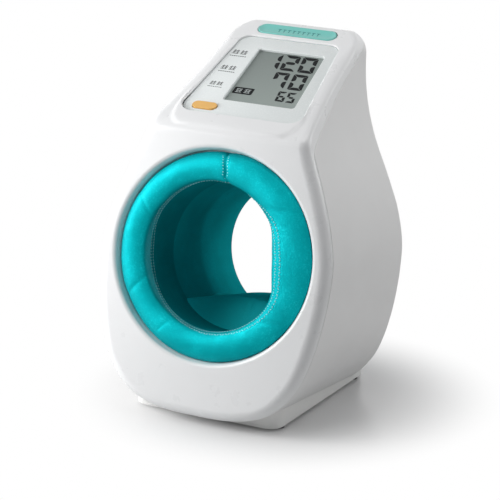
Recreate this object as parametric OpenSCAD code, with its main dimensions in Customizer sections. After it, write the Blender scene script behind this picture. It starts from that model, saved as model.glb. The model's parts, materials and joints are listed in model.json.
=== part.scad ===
// Arm-in blood pressure monitor for the home.
// A white housing with an egg-shaped outline leans back on a wedge-shaped foot.
// A padded tunnel takes the upper arm, and the display and its two buttons sit on the sloping head.
// Units are millimetres. X runs to the right, Y to the rear and Z up. The origin lies on the table,
// below the middle of the footprint.

/* [Body outline] */
// Full width of the body at the belly
body_w = 212.6; // [200:1:230]
// Height of the tunnel centre above the table, measured at the front face
ring_height = 143.5; // [140:0.5:150]
// Reach of the outline below the tunnel centre
body_below = 138; // [132:1:139]
// Drop of the widest point below the tunnel centre
belly_drop = 2; // [0:1:10]
// Half width at the hip, where the side turns in to the bottom
hip_half_w = 84; // [80:1:88]
// Drop of the hip below the tunnel centre
hip_drop = 106.5; // [102:1:110]
// Half width at the shoulder, where the side turns from convex to hollow
shoulder_half_w = 87.7; // [84:1:90]
// Rise of the shoulder above the tunnel centre
shoulder_rise = 69.7; // [66:1:74]
// Lean of the outline at the shoulder, from upright
shoulder_slope = 20.9; // [18:0.5:24]
// Full width of the head
head_w = 130.6; // [126:1:136]
// Radius of the two upper corners of the head, seen from the front
head_corner_r = 18; // [12:1:20]
// Length of the straight run of the head's sides below those corners
head_straight = 7.3; // [5:0.5:15]

/* [Body depth] */
// Lean of the front face, from upright
lean = 9.3; // [6:0.5:11]
// Fall of the housing towards the rear, from level
body_slope = 4.2; // [3:0.2:5.5]
// Depth of the housing from the tunnel centre at the front to the rear wall
body_depth = 175.4; // [170:1:190]
// Distance from the upper end of the hood to the rear wall
hood_to_rear = 13.1; // [11:0.5:16]
// How much the head narrows towards the rear, as a share for each metre of rise
head_taper = 0.75; // [0:0.05:1]
// Wall of the covers
wall = 2.5; // [2:0.1:3]
// Radius of the front edge of the housing
front_edge_r = 10; // [8:0.5:12]
// Radius of the rear edge of the housing
rear_edge_r = 9; // [6:0.5:10]
// Depth of the seam between the covers behind the front face
seam_depth = 9.5; // [8:0.5:12]
// Depth of the seam below the hood, square to the hood
seam_below_hood = 12; // [10:0.5:14]

/* [Arm tunnel] */
// Slope of the arm tunnel down towards the rear, from level
tunnel_slope = 11; // [9:0.5:12]
// Radius of the round hole in the front cover
hole_r = 93; // [91:0.5:95]
// Depth of the collar round that hole
collar_depth = 11; // [10:0.5:13]
// Radius of the padded ring at its outer edge
pad_outer_r = 89; // [87:0.5:90]
// Radius of the clear arm opening
arm_r = 64; // [60:0.5:65]
// How far the crown of the padded ring stands in front of the front face
pad_crown = 2.5; // [1:0.5:5]
// How far the soft cuff sags into the opening on its right
pad_sag = 9; // [0:0.5:10]
// Thickness of the fabric lining
lining_t = 2.5; // [2:0.1:3]
// Thickness of the air bladder round the lining
bladder_t = 11; // [9:0.5:12]
// Wall of the rigid tunnel drum
drum_t = 3; // [2.5:0.1:3.5]
// Thickness of the ring frame behind the padded ring
ring_frame_t = 3; // [2.5:0.1:4]
// Distance of the crown of the arm rest below the tunnel axis
rest_drop = 38.2; // [36:0.5:46]
// Radius of the arm rest's crown, from side to side
rest_crown_r = 171; // [150:1:220]
// Length of the arm rest along its top
rest_l = 78; // [60:1:90]
// Width of the rear trim ring round the tunnel
rear_ring_w = 8; // [6:0.5:10]

/* [Display] */
// Slope of the hood and the display panel, from level
panel_slope = 26.3; // [24:0.5:29]
// Distance of the panel's reference point behind the tunnel centre at the front
panel_y = 59.4; // [57:0.5:62]
// Height of that point above the table
panel_z = 266.8; // [265:0.5:268]
// Depth of the panel plate below the hood
panel_sink = 1.8; // [1:0.1:2.5]
// Width of the panel plate at its lower edge
panel_low_w = 114.2; // [110:1:118]
// Width of the panel plate at its upper edge
panel_high_w = 93; // [90:1:98]
// Reach of the panel plate below the reference point
panel_below = 25.9; // [24:0.5:27]
// Gap between the panel plate and the start button
panel_to_start = 5; // [4:0.2:7]
// Corner radius of the panel plate
panel_corner_r = 8; // [5:0.5:10]
// Thickness of the panel plate
panel_t = 2.4; // [2:0.1:3]
// Left edge of the display window
window_left = 24.2; // [22:0.2:26]
// Right edge of the display window at its lower corner
window_right_low = 41.9; // [39:0.2:43]
// Right edge of the display window at its upper corner
window_right_high = 38.2; // [36:0.2:40]
// Lower edge of the display window, below the reference point
window_below = 2.1; // [1:0.1:4]
// Distance of the window's upper edge below the panel's
window_top = 16.5; // [14:0.5:20]
// Thickness of the display glass
glass_t = 1.8; // [1.5:0.1:2.2]

/* [Buttons] */
// Length of the start button
start_l = 75; // [70:1:80]
// Width of the start button
start_w = 17.4; // [15:0.2:18]
// Distance of the start button's middle in front of the rear wall
start_to_rear = 20.6; // [20:0.1:22]
// Travel of the start button
start_travel = 1.2; // [0.8:0.1:1.5]
// Height of the start button above the hood
start_proud = 1.2; // [0.8:0.1:2]
// Length of the memory button
memory_l = 22.4; // [20:0.2:24]
// Width of the memory button
memory_w = 9.4; // [8:0.2:10]
// Distance of the memory button's middle left of the centre line
memory_x = 35.3; // [34:0.1:37]
// Distance of the memory button's middle below the reference point
memory_v = 14.6; // [14:0.1:15.5]
// Travel of the memory button
memory_travel = 0.8; // [0.5:0.1:1]
// Height of the memory button above the panel
memory_proud = 1.2; // [0.9:0.1:2]
// Gap round a button that slides in its hole
button_gap = 0.35; // [0.3:0.05:0.5]
// Thickness of the flange that keeps a button in
flange_t = 1.2; // [1:0.1:1.5]
// Width of that flange
flange_w = 1.4; // [1.2:0.1:2]

/* [Foot] */
// Width of the foot
foot_w = 136.4; // [130:1:140]
// Length of the foot
foot_l = 197; // [190:1:210]
// Corner radius of the foot, seen from above
foot_corner_r = 13; // [9:0.5:15]
// Height of the top of the foot at its front
foot_front_h = 23; // [22:0.5:25]
// Height of the top of the foot at its rear
foot_rear_h = 12.6; // [12:0.2:14]
// Gap between the foot and the covers that stand round it
foot_gap = 0.2; // [0.1:0.05:0.4]
// Thickness of the bottom plate
bottom_t = 2.4; // [2:0.1:3]
// Height of the rubber feet
pad_h = 2.6; // [2:0.1:3]
// Radius of a rubber foot
rubber_r = 5; // [4:0.5:5]

/* [Batteries] */
// Radius of a battery cell
cell_r = 7.1; // [7:0.05:7.2]
// Length of a battery cell
cell_l = 49.2; // [48:0.1:50]
// Gap between two cells side by side
cell_gap = 1; // [0.6:0.1:2]
// Wall of the battery tray
tray_wall = 1.6; // [1.2:0.1:2]
// Gap round the battery door
door_gap = 0.3; // [0.3:0.05:0.5]

/* [Air system] */
// Radius of the pump body
pump_r = 13.5; // [12:0.5:14]
// Length of the pump body
pump_l = 56; // [50:1:60]
// Distance of the pump's axis from the centre line
pump_x = 48; // [46:1:50]
// Radius of the exhaust valve
valve_r = 8; // [6:0.5:9]
// Length of the exhaust valve
valve_l = 26; // [22:1:30]
// Outer radius of the air hoses
hose_r = 2.6; // [2:0.1:3]

/* [Socket and screws] */
// Radius of the bore of the adapter socket
jack_r = 2.85; // [2.6:0.05:3.2]
// Depth of that bore
jack_l = 9; // [8:0.5:12]
// Distance of the socket's axis inside the side of the housing
jack_inset = 17.1; // [16.5:0.1:22]
// Height of the socket above the table
jack_z = 50; // [48:1:54]
// Radius of the cover screws
screw_r = 1.5; // [1.3:0.1:1.8]
// Radius of the heads of the cover screws
screw_head_r = 2.8; // [2.6:0.1:3.2]
// Clearance round a screw in its hole
screw_gap = 0.05; // [0.03:0.01:0.08]
// Radius of a screw boss
boss_r = 4; // [3.6:0.1:4.4]

/* [Hidden] */
eps = 0.01;
far = 400;

// The front plane passes through the tunnel centre. A place on the body is given by its offset u to
// the right, its rise w up the front plane and its depth k towards the rear.
front_reach = (body_below - front_edge_r) * sin(lean);
middle_y = (foot_l - front_reach) / 2;
rise_per_k = (cos(lean) - sin(lean) * tan(panel_slope))
    / (sin(body_slope) + cos(body_slope) * tan(panel_slope));
hood_bend = (panel_z - ring_height - panel_y * tan(panel_slope) + panel_sink / cos(panel_slope))
    / (cos(lean) - sin(lean) * tan(panel_slope));
hood_stretch = sqrt(1 + rise_per_k * rise_per_k);
body_above = (body_depth - hood_to_rear + rise_per_k * hood_bend * cos(body_slope))
    / (sin(lean) + rise_per_k * cos(body_slope));
head_rise = body_above - head_corner_r - head_straight;
start_v = (body_depth - start_to_rear - panel_y) / cos(panel_slope);
panel_above = start_v - start_w / 2 - panel_to_start;
window_above = panel_above - window_top;
bend_blend = 6;
body_half_w = body_w / 2;
head_half_w = head_w / 2;

function place(u, w, k) = [
    u * (1 - head_taper / 1000 * max(0, w - 40) * k / body_depth),
    w * sin(lean) + k * cos(body_slope) - middle_y,
    ring_height + w * cos(lean) - k * sin(body_slope)];
function bezier(p, t) = pow(1 - t, 3) * p[0] + 3 * pow(1 - t, 2) * t * p[1]
    + 3 * (1 - t) * t * t * p[2] + pow(t, 3) * p[3];
function curve(p, n) = [for (i = [0:n - 1]) bezier(p, i / n)];

// Right half of the outline, from the bottom to the top, as four curves, a straight and a round corner.
hip = [hip_half_w, -hip_drop];
hip_run = [13, 17.5];
belly = [body_half_w, -belly_drop];
shoulder = [shoulder_half_w, shoulder_rise];
shoulder_run = [-sin(shoulder_slope), cos(shoulder_slope)];
head_side = [head_half_w, head_rise];
corner = [head_half_w - head_corner_r, body_above - head_corner_r];
half_outline = concat(
    curve([[0, -body_below], [0.74 * hip_half_w, -body_below - 1.5], hip - hip_run * 0.85, hip], 6),
    curve([hip, hip + hip_run, belly - [0, 40], belly], 6),
    curve([belly, belly + [0, 24], shoulder - shoulder_run * 18, shoulder], 6),
    curve([shoulder, shoulder + shoulder_run * 15, head_side - [0, 48], head_side], 8),
    [for (i = [0:5]) corner + head_corner_r * [cos(i * 18), sin(i * 18)]],
    [[0.4 * head_half_w, body_above]]);
half_n = len(half_outline);
outline = concat(half_outline, [[0, body_above]],
    [for (i = [1:half_n - 1]) [-half_outline[half_n - i][0], half_outline[half_n - i][1]]]);
outline_n = len(outline);
function unit(v) = v / norm(v);
function outward(i) = let (
    a = outline[(i + outline_n - 1) % outline_n],
    b = outline[(i + 1) % outline_n],
    d = unit(b - a)) [d[1], -d[0]];
function inset_point(i, inset) = outline[i] - outward(i) * inset;

// Depth of the front surface at rise w, under a skin of thickness t.
function bend(h) = h < -bend_blend ? 0 : h > bend_blend ? rise_per_k * h
    : rise_per_k * pow(h + bend_blend, 2) / (4 * bend_blend);
function bend_rise(h) = rise_per_k * min(1, max(0, (h + bend_blend) / (2 * bend_blend)));
function front_k(w, t) = t + bend(w - hood_bend + t * (hood_stretch - 1) / rise_per_k);
// The same with the rounded edge, at a distance from the side wall that the skin leaves.
function edge_k(w, t, side, r, rise) = let (
    s = max(0, rise) * bend_rise(w - hood_bend),
    q = sqrt(1 + s * s),
    tangent = r - r * s / q)
    side >= tangent ? front_k(w, t)
    : front_k(w, t) + s * (side - r) + r * q - sqrt(max(0, r * r - pow(r - side, 2)));
function rear_k(w, t) = (body_depth - t - w * sin(lean)) / cos(body_slope);
function rear_edge_k(w, t, side, r) = rear_k(w, t) - (side >= r ? 0 : r - sqrt(r * r - pow(r - side, 2)));

// Rings of points from the middle of the front to the middle of the rear.
function edge_steps(r, n) = [for (j = [0:n]) r * (1 - cos(90 * j / n))];
function front_ring(t, side, r) = [for (i = [0:outline_n - 1]) let (p = inset_point(i, t + side))
    place(p[0], p[1], edge_k(p[1], t, side, r, outward(i)[1]))];
function rear_ring_points(t, side, r) = [for (i = [0:outline_n - 1]) let (p = inset_point(i, t + side))
    place(p[0], p[1], rear_edge_k(p[1], t, side, r))];
function between_ring(t, r, share, inner_r) = [for (i = [0:outline_n - 1]) let (
    p = inset_point(i, t + r),
    c = unit(p) * inner_r,
    q = c + (p - c) * share)
    place(q[0], q[1], front_k(q[1], t))];
// The two triangles of each field mirror each other across the middle of the body.
function ring_faces(rings, n) = [for (j = [0:rings - 2], i = [0:n - 1], half = [0, 1]) let (
    a = j * n + i,
    b = j * n + (i + 1) % n)
    i < n / 2
        ? (half == 0 ? [a, b, a + n] : [b, b + n, a + n])
        : (half == 0 ? [a, b, b + n] : [a, b + n, a + n])];

module loft(rings, front_point, rear_point) {
    n = len(rings[0]);
    count = len(rings);
    points = concat([for (ring = rings) each ring], [front_point, rear_point]);
    polyhedron(points, concat(
        ring_faces(count, n),
        [for (i = [0:n - 1]) [count * n, (i + 1) % n, i]],
        [for (i = [0:n - 1]) [count * n + 1, (count - 1) * n + i, (count - 1) * n + (i + 1) % n]]));
}

// The housing as a closed form, t inside its outer surface.
module housing_form(t, steps) {
    front_r = front_edge_r - t;
    rear_r = rear_edge_r - t;
    inner_r = hole_r - 6;
    loft(concat(
        [for (share = [0, 0.1, 0.19, 0.28, 0.45, 0.7]) between_ring(t, front_r, share, inner_r)],
        [for (j = [steps:-1:0]) front_ring(t, edge_steps(front_r, steps)[j], front_r)],
        [for (j = [0:steps]) rear_ring_points(t, edge_steps(rear_r, steps)[j], rear_r)]),
        place(0, 0, t), place(0, 0, rear_k(0, t)));
}

// Local frames: square to the front face, along the tunnel, and on the sloping hood.
module on_face() {
    translate([0, -middle_y, ring_height]) rotate([-lean, 0, 0]) children();
}
module on_tunnel() {
    translate([0, -middle_y, ring_height]) rotate([-tunnel_slope, 0, 0]) children();
}
module on_panel() {
    translate([0, panel_y - middle_y, panel_z]) rotate([panel_slope, 0, 0]) children();
}
// A tube along the tunnel, from depth a0 to depth a1.
module tunnel_disc(r, a0, a1) {
    translate([0, a1, 0]) rotate([90, 0, 0]) cylinder(r = r, h = a1 - a0, $fn = 96);
}
module side_prism(points) {
    translate([-far / 2, 0, 0]) rotate([90, 0, 90]) linear_extrude(far) polygon(points);
}
function side_point(w, k) = [place(0, w, k)[1], place(0, w, k)[2]];

// Seam between the covers, in side view: behind the front face, then below the hood.
hood_seam_k = seam_below_hood * hood_stretch;
seam_turn = hood_bend + (seam_depth - hood_seam_k) / rise_per_k;
seam_low = side_point(-far / 2, seam_depth);
seam_mid = side_point(seam_turn, seam_depth);
seam_top = side_point(body_above + 60, rise_per_k * (body_above + 60 - hood_bend) + hood_seam_k);
module front_side() {
    high = far * 1.5;
    side_prism([seam_low, seam_mid, seam_top, [seam_top[0], high], [-far, high], [-far, seam_low[1]]]);
}

// The foot as a wedge with rounded corners, grown by g.
foot_slope = atan((foot_front_h - foot_rear_h) / foot_l);
function foot_top(y) = foot_front_h - (y + middle_y) * tan(foot_slope);
module foot_outline(g) {
    r = foot_corner_r + g;
    x = foot_w / 2 + g - r;
    y0 = -middle_y - g + r;
    y1 = foot_l - middle_y + g - r;
    polygon(rounded([[-x, y0], [x, y0], [x, y1], [-x, y1]], r, 8));
}
module foot_wedge(g, lower) {
    intersection() {
        translate([0, 0, -far / 2]) linear_extrude(far) foot_outline(g);
        side_prism([
            [-middle_y - far / 2, lower],
            [foot_l - middle_y + far / 2, lower],
            [foot_l - middle_y + far / 2, foot_top(foot_l - middle_y + far / 2) + g],
            [-middle_y - far / 2, foot_top(-middle_y - far / 2) + g]]);
    }
}

// Places of the screws that join the covers, as offsets u and rises w.
screw_pairs = [[88, -60], [76, 78], [75, -103], [57, 112]];
screw_places = [for (p = screw_pairs, side = [-1, 1]) [side * p[0], p[1]]];
module screw_axis(place_uw) {
    translate(place(place_uw[0], place_uw[1], 0)) rotate([-90 - body_slope, 0, 0]) children();
}
// Depth of the seam at rise w, measured along the body from the front plane.
function seam_k(w) = w < seam_turn ? seam_depth : rise_per_k * (w - hood_bend) + hood_seam_k;
// Outline of a convex shape with rounded corners, from the centres of its corners, anticlockwise.
function edge_angle(a, b) = atan2(b[1] - a[1], b[0] - a[0]) - 90;
function rounded(centres, r, n) = let (m = len(centres)) [for (i = [0:m - 1]) let (
    a0 = edge_angle(centres[(i + m - 1) % m], centres[i]),
    a1 = edge_angle(centres[i], centres[(i + 1) % m]),
    turn = (a1 - a0 + 720) % 360)
    for (j = [0:n]) centres[i] + r * [cos(a0 + turn * j / n), sin(a0 + turn * j / n)]];
// Outlines on the hood, each grown by g.
function panel_points(g) = let (r = panel_corner_r) rounded([
    [-panel_low_w / 2 + r, -panel_below + r],
    [panel_low_w / 2 - r, -panel_below + r],
    [panel_high_w / 2 - r, panel_above - r],
    [-panel_high_w / 2 + r, panel_above - r]], r + g, 5);
function window_points(g) = rounded([
    [-window_left, -window_below],
    [window_right_low, -window_below],
    [window_right_high, window_above],
    [-window_left, window_above]], max(g, 0.4), 3);
module pill(l, w, g) {
    square([l - w, w + 2 * g], center = true);
    translate([(l - w) / 2, 0]) circle(w / 2 + g, $fn = 32);
    translate([(w - l) / 2, 0]) circle(w / 2 + g, $fn = 32);
}
module start_place() {
    on_panel() translate([0, start_v, 0]) children();
}
module memory_place() {
    on_panel() translate([-memory_x, -memory_v, 0]) children();
}
// A plate on the hood between two heights.
module slab(z0, z1) {
    translate([0, 0, z0]) linear_extrude(z1 - z0) children();
}

hood_z = panel_sink;
hood_under = hood_z - wall;
seat_top = -panel_t;
seat_t = 2.5;
seat_under = seat_top - seat_t;
flange_stop = 0.3;
start_flange_top = hood_under - flange_stop;
start_flange_low = start_flange_top - flange_t;
memory_flange_top = seat_top - flange_stop;
memory_flange_low = memory_flange_top - flange_t;
glass_margin = 2;
glass_low = seat_top - glass_t;

// Screw towers run from the front wall to the rear wall and part at the seam.
tower_r = boss_r + 1;
tower_floor = 3;
module towers() {
    intersection() {
        for (p = screw_places) screw_axis(p) cylinder(r = tower_r, h = body_depth + 30, $fn = 32);
        housing_form(0.6, 2);
    }
}
module tower_bores() {
    for (p = screw_places) screw_axis(p) {
        translate([0, 0, seam_k(p[1]) + tower_floor])
            cylinder(r = screw_head_r + 0.5, h = body_depth, $fn = 32);
        translate([0, 0, seam_k(p[1]) - screw_engaged]) cylinder(r = screw_r + screw_gap, h = 30, $fn = 32);
    }
}
screw_engaged = 6;
cover_head_t = 2;
bottom_head_t = 1.4;
bottom_screw_l = 7;
screw_hex_r = 1.2;

module cover_shell() {
    difference() {
        union() {
            difference() {
                housing_form(0, 5);
                housing_form(wall, 2);
            }
            towers();
        }
        tower_bores();
        foot_wedge(foot_gap, -far / 4);
    }
}

// Front cover: face, hood and the collar round the arm opening.
module front_cover() {
    color("white") difference() {
        union() {
            intersection() {
                cover_shell();
                front_side();
            }
            on_face() tunnel_disc(hole_r + wall, wall / 2, collar_depth);
            on_panel() slab(seat_under, hood_under + eps) polygon(panel_points(2));
        }
        on_face() tunnel_disc(hole_r, -hole_r, collar_depth + 1);
        on_panel() {
            slab(seat_top, hood_z + far) polygon(panel_points(foot_gap));
            slab(seat_under - 1, seat_top + 1) polygon(window_points(glass_margin + foot_gap));
        }
        memory_place() slab(seat_under - 1, seat_top + 1) pill(memory_l, memory_w, flange_w + button_gap);
        start_place() {
            slab(hood_under - wall, hood_z + wall) pill(start_l, start_w, button_gap);
            slab(start_flange_low - wall, hood_under) pill(start_l, start_w, flange_w + button_gap);
        }
    }
}

// Rear cover: sides and rear wall, with the rear opening, the socket hole and the board posts.
rear_opening_r = arm_r + lining_t + 3.5;
board_y = body_depth - 27.4;
board_t = 1.6;
board_low = ring_height + 68.5;
board_high = board_low + 56;
board_w = 90;
post_r = 3.5;
post_inset = 6;
board_posts = [for (x = [post_inset + 1 - board_w / 2, board_w / 2 - post_inset - 1],
    z = [board_low + post_inset, board_high - post_inset]) [x, z]];
rear_wall_y = body_depth - middle_y;
jack_nose_r = jack_r + 2.15;
jack_rise = (jack_z - ring_height + body_depth * sin(body_slope)) / cos(lean);
jack_x = lookup(jack_rise, [for (p = half_outline) [p[1], p[0]]]) - jack_inset;
module rear_cover() {
    color("gainsboro") difference() {
        union() {
            difference() {
                cover_shell();
                front_side();
            }
            for (p = board_posts) translate([p[0], rear_wall_y - wall / 2, p[1]])
                rotate([90, 0, 0])
                    cylinder(r = post_r, h = body_depth - wall / 2 - board_y - board_t, $fn = 24);
        }
        on_tunnel() {
            tunnel_disc(rear_opening_r, rear_start, tunnel_reach);
            tunnel_disc(drum_outer_r, collar_depth, body_depth - 25);
        }
        translate([jack_x, rear_wall_y + wall, jack_z]) rotate([90, 0, 0])
            cylinder(r = jack_nose_r, h = 3 * wall, $fn = 32);
    }
}

// Rigid drum, ring frame and rear trim ring.
ring_frame_a0 = collar_depth;
ring_frame_a1 = collar_depth + ring_frame_t;
lining_r = arm_r + lining_t;
bladder_outer_r = lining_r + 0.5 + bladder_t;
drum_inner_r = bladder_outer_r + 0.5;
drum_outer_r = drum_inner_r + drum_t;
rear_inner_y = rear_wall_y - wall;
tunnel_reach = body_depth + drum_outer_r;
rear_start = body_depth - drum_outer_r / 2;
port_angle = 215;
port_a = 60;
port_r = 3;
port_l = 4;
// Keeps what lies behind depth a of the front face and in front of the upright plane y.
module between_walls(a, y) {
    intersection() {
        children();
        translate([-far / 2, y - far, -far / 2]) cube([far, far, far * 2]);
        on_face() translate([-far / 2, a, -far]) cube([far, far, far * 2]);
    }
}
module tunnel_tube(outer, inner, a0, a1) {
    difference() {
        tunnel_disc(outer, a0, a1);
        tunnel_disc(inner, a0 - 1, a1 + 1);
    }
}
module at_port(r, r0, r1) {
    on_tunnel() translate([0, port_a, 0]) rotate([0, port_angle, 0]) translate([0, 0, r0])
        cylinder(r = r, h = r1 - r0, $fn = 24);
}
module tunnel_drum() {
    color("lightgray") difference() {
        between_walls(ring_frame_a1, rear_inner_y) on_tunnel()
            tunnel_tube(drum_outer_r, drum_inner_r, 0, tunnel_reach);
        at_port(port_r + 0.5, drum_inner_r - 5, drum_outer_r + 5);
    }
}
module ring_frame() {
    color("darkgray") on_face()
        tunnel_tube(hole_r + wall, lining_r + 1, ring_frame_a0, ring_frame_a1);
}
// Rear trim ring: a sleeve in the rear opening, a flange on the wall and a lip over the lining's end.
rear_ring_flange = 1.8;
rear_ring_sleeve = 10.5;
rear_ring_lip = 1.6;
lining_end_y = rear_wall_y - 4.4;
module rear_ring_part(outer, inner, y0) {
    intersection() {
        on_tunnel() tunnel_tube(outer, inner, rear_start, tunnel_reach);
        translate([-far / 2, y0, -far / 2]) cube([far, rear_wall_y + rear_ring_flange - y0, far * 2]);
    }
}
module rear_ring() {
    color("whitesmoke") {
        rear_ring_part(rear_opening_r, lining_r + 0.3, rear_wall_y - rear_ring_sleeve);
        rear_ring_part(rear_opening_r + rear_ring_w, lining_r + 0.3, rear_wall_y);
        rear_ring_part(lining_r + 1, arm_r + rear_ring_lip, lining_end_y + 0.3);
    }
}
module air_bladder() {
    color("slategray") {
        between_walls(ring_frame_a1 + 1, rear_wall_y - rear_ring_sleeve - 4) on_tunnel()
            tunnel_tube(bladder_outer_r, lining_r + 0.5, 0, tunnel_reach);
        at_port(port_r, bladder_outer_r - 1, drum_outer_r + port_l);
    }
}

// Padded ring: a crowned cushion round the opening, drawn in at its sewn joint at the top.
// Its lip sags inward on the right, where the soft cuff bulges.
pad_steps = 60;
pad_back_a = collar_depth;
pad_seam_pull = 1.2;
function pad_sag_at(g) = pad_sag * exp(-pow((g - 82) / 33, 2));
function pad_section(g) = let (
    lip = arm_r - pad_sag_at(g > 262 ? g - 360 : g),
    mid = (pad_outer_r + lip) / 2,
    half = (pad_outer_r - lip) / 2,
    edge_a = 5.5) concat(
    [[lining_r + 0.8, pad_back_a], [arm_r + 0.2, pad_back_a - 1]],
    [for (j = [0:9]) let (t = 180 - 20 * j)
        [mid + half * cos(t), edge_a - (edge_a + pad_crown) * pow(sin(t), 0.8)]],
    [[pad_outer_r, pad_back_a - 0.8], [pad_outer_r - 1, pad_back_a]]);
function pad_point(p, g) = let (
    near = exp(-pow((g > 180 ? g - 360 : g) / 2.4, 2)),
    pull = pad_seam_pull * near * (p[1] < 5 ? 1 : 0),
    a = p[1] + pull) [p[0] * sin(g), a, p[0] * cos(g)];
module ring_pad() {
    m = len(pad_section(0));
    points = [for (i = [0:pad_steps - 1]) let (g = pad_ring_angle(i))
        for (p = pad_section(g)) pad_point(p, g)];
    faces = [for (i = [0:pad_steps - 1], j = [0:m - 1], half = [0, 1]) let (
        a = i * m + j,
        b = i * m + (j + 1) % m,
        c = ((i + 1) % pad_steps) * m + (j + 1) % m,
        d = ((i + 1) % pad_steps) * m + j)
        half == 0 ? [a, b, c] : [a, c, d]];
    color("darkcyan") on_face() polyhedron(points, faces);
}
// Steps are closer together at the joint.
function pad_ring_angle(i) = let (c = i < pad_steps / 2 ? i / (pad_steps / 2) : 2 - i / (pad_steps / 2))
    (i <= pad_steps / 2 ? 1 : -1) * 180 * c * (0.4 + 0.6 * c) + (i <= pad_steps / 2 ? 0 : 360);
module tunnel_lining() {
    color("teal") between_walls(pad_back_a + 0.2, lining_end_y) on_tunnel()
        tunnel_tube(lining_r, arm_r, 0, tunnel_reach);
}
// Arm rest: a crowned cushion that fills the bottom of the tunnel towards the rear, behind a ramp.
rest_gap = 0.3;
rest_ramp = 34;
module arm_rest() {
    a1 = body_depth - 6;
    color("darkslategray") between_walls(0, lining_end_y) on_tunnel() intersection() {
        tunnel_disc(arm_r - rest_gap, 0, tunnel_reach);
        translate([0, 0, -rest_drop - rest_crown_r])
            translate([0, tunnel_reach, 0]) rotate([90, 0, 0])
                cylinder(r = rest_crown_r, h = tunnel_reach, $fn = 240);
        rotate([90, 0, 90]) translate([0, 0, -arm_r]) linear_extrude(2 * arm_r) polygon([
            [a1 - rest_l - rest_ramp, -arm_r],
            [tunnel_reach, -arm_r],
            [tunnel_reach, -rest_drop],
            [a1 - rest_l, -rest_drop],
            [a1 - rest_l - rest_ramp * 0.5, -(rest_drop * 0.45 + arm_r * 0.55)]]);
    }
}

// Display
module display_panel() {
    color("lightgray") difference() {
        on_panel() slab(-panel_t, 0) polygon(panel_points(0));
        on_panel() slab(-panel_t - 1, 1) polygon(window_points(0.4));
        memory_place() slab(-panel_t - 1, 1) pill(memory_l, memory_w, button_gap);
    }
}
module lcd_glass() {
    color("darkseagreen") on_panel() slab(glass_low, seat_top) polygon(window_points(glass_margin));
}
holder_low = -11;
module lcd_holder() {
    color("dimgray") on_panel() difference() {
        union() {
            slab(holder_low, seat_under) polygon(window_points(4));
            slab(seat_under - eps, glass_low) polygon(window_points(glass_margin - 0.2));
        }
        slab(holder_low + 3, glass_low + 1) polygon(window_points(0.5));
    }
}
display_board_w = 96;
module display_board() {
    color("seagreen") on_panel() translate([-display_board_w / 2, -panel_below + 4, holder_low - board_t])
        cube([display_board_w, start_v + panel_below + 2, board_t]);
}
module push_switch(top) {
    slab(holder_low, top - 0.6) square([6, 6], center = true);
    translate([0, 0, top - 0.6 - eps]) cylinder(r = 1.7, h = 0.6 + eps, $fn = 24);
}
start_stem_low = -5;
memory_stem_low = -6;
module push_switches() {
    color("black") {
        start_place() push_switch(start_stem_low - start_travel - flange_stop);
        memory_place() push_switch(memory_stem_low - memory_travel - flange_stop);
    }
}

// Buttons
start_dish_r = 42;
module start_button() {
    color("mediumaquamarine") start_place() {
        difference() {
            slab(start_flange_low, hood_z + start_proud) pill(start_l, start_w, 0);
            translate([-start_l, 0, hood_z + start_proud - 0.7 + start_dish_r]) rotate([0, 90, 0])
                cylinder(r = start_dish_r, h = 2 * start_l, $fn = 96);
        }
        slab(start_flange_low, start_flange_top) pill(start_l, start_w, flange_w);
        slab(start_stem_low, start_flange_low + eps) square([8, 4], center = true);
    }
}
module memory_button() {
    color("orange") memory_place() {
        slab(memory_flange_low, memory_proud) pill(memory_l, memory_w, 0);
        slab(memory_flange_low, memory_flange_top) pill(memory_l, memory_w, flange_w);
        slab(memory_stem_low, memory_flange_low + eps) square([4, 3], center = true);
    }
}

// Boards and what sits on them
module main_board() {
    color("green") translate([-board_w / 2, board_y - middle_y, board_low])
        cube([board_w, board_t, board_high - board_low]);
}
buzzer_x = -22;
buzzer_z = board_low + 26;
buzzer_r = 8;
buzzer_h = 7;
module buzzer() {
    color("black") translate([buzzer_x, board_y - middle_y, buzzer_z]) rotate([90, 0, 0]) difference() {
        cylinder(r = buzzer_r, h = buzzer_h, $fn = 32);
        translate([0, 0, buzzer_h - 2]) cylinder(r = 1.6, h = 3, $fn = 24);
    }
}
sensor_x = 20;
sensor_z = board_low + 20;
sensor_l = 12;
module pressure_sensor() {
    color("gray") translate([sensor_x, board_y - middle_y, sensor_z]) rotate([90, 0, 0]) {
        translate([-8, -7, 0]) cube([16, 14, 6]);
        cylinder(r = nipple_r, h = sensor_l, $fn = 24);
    }
}

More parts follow.
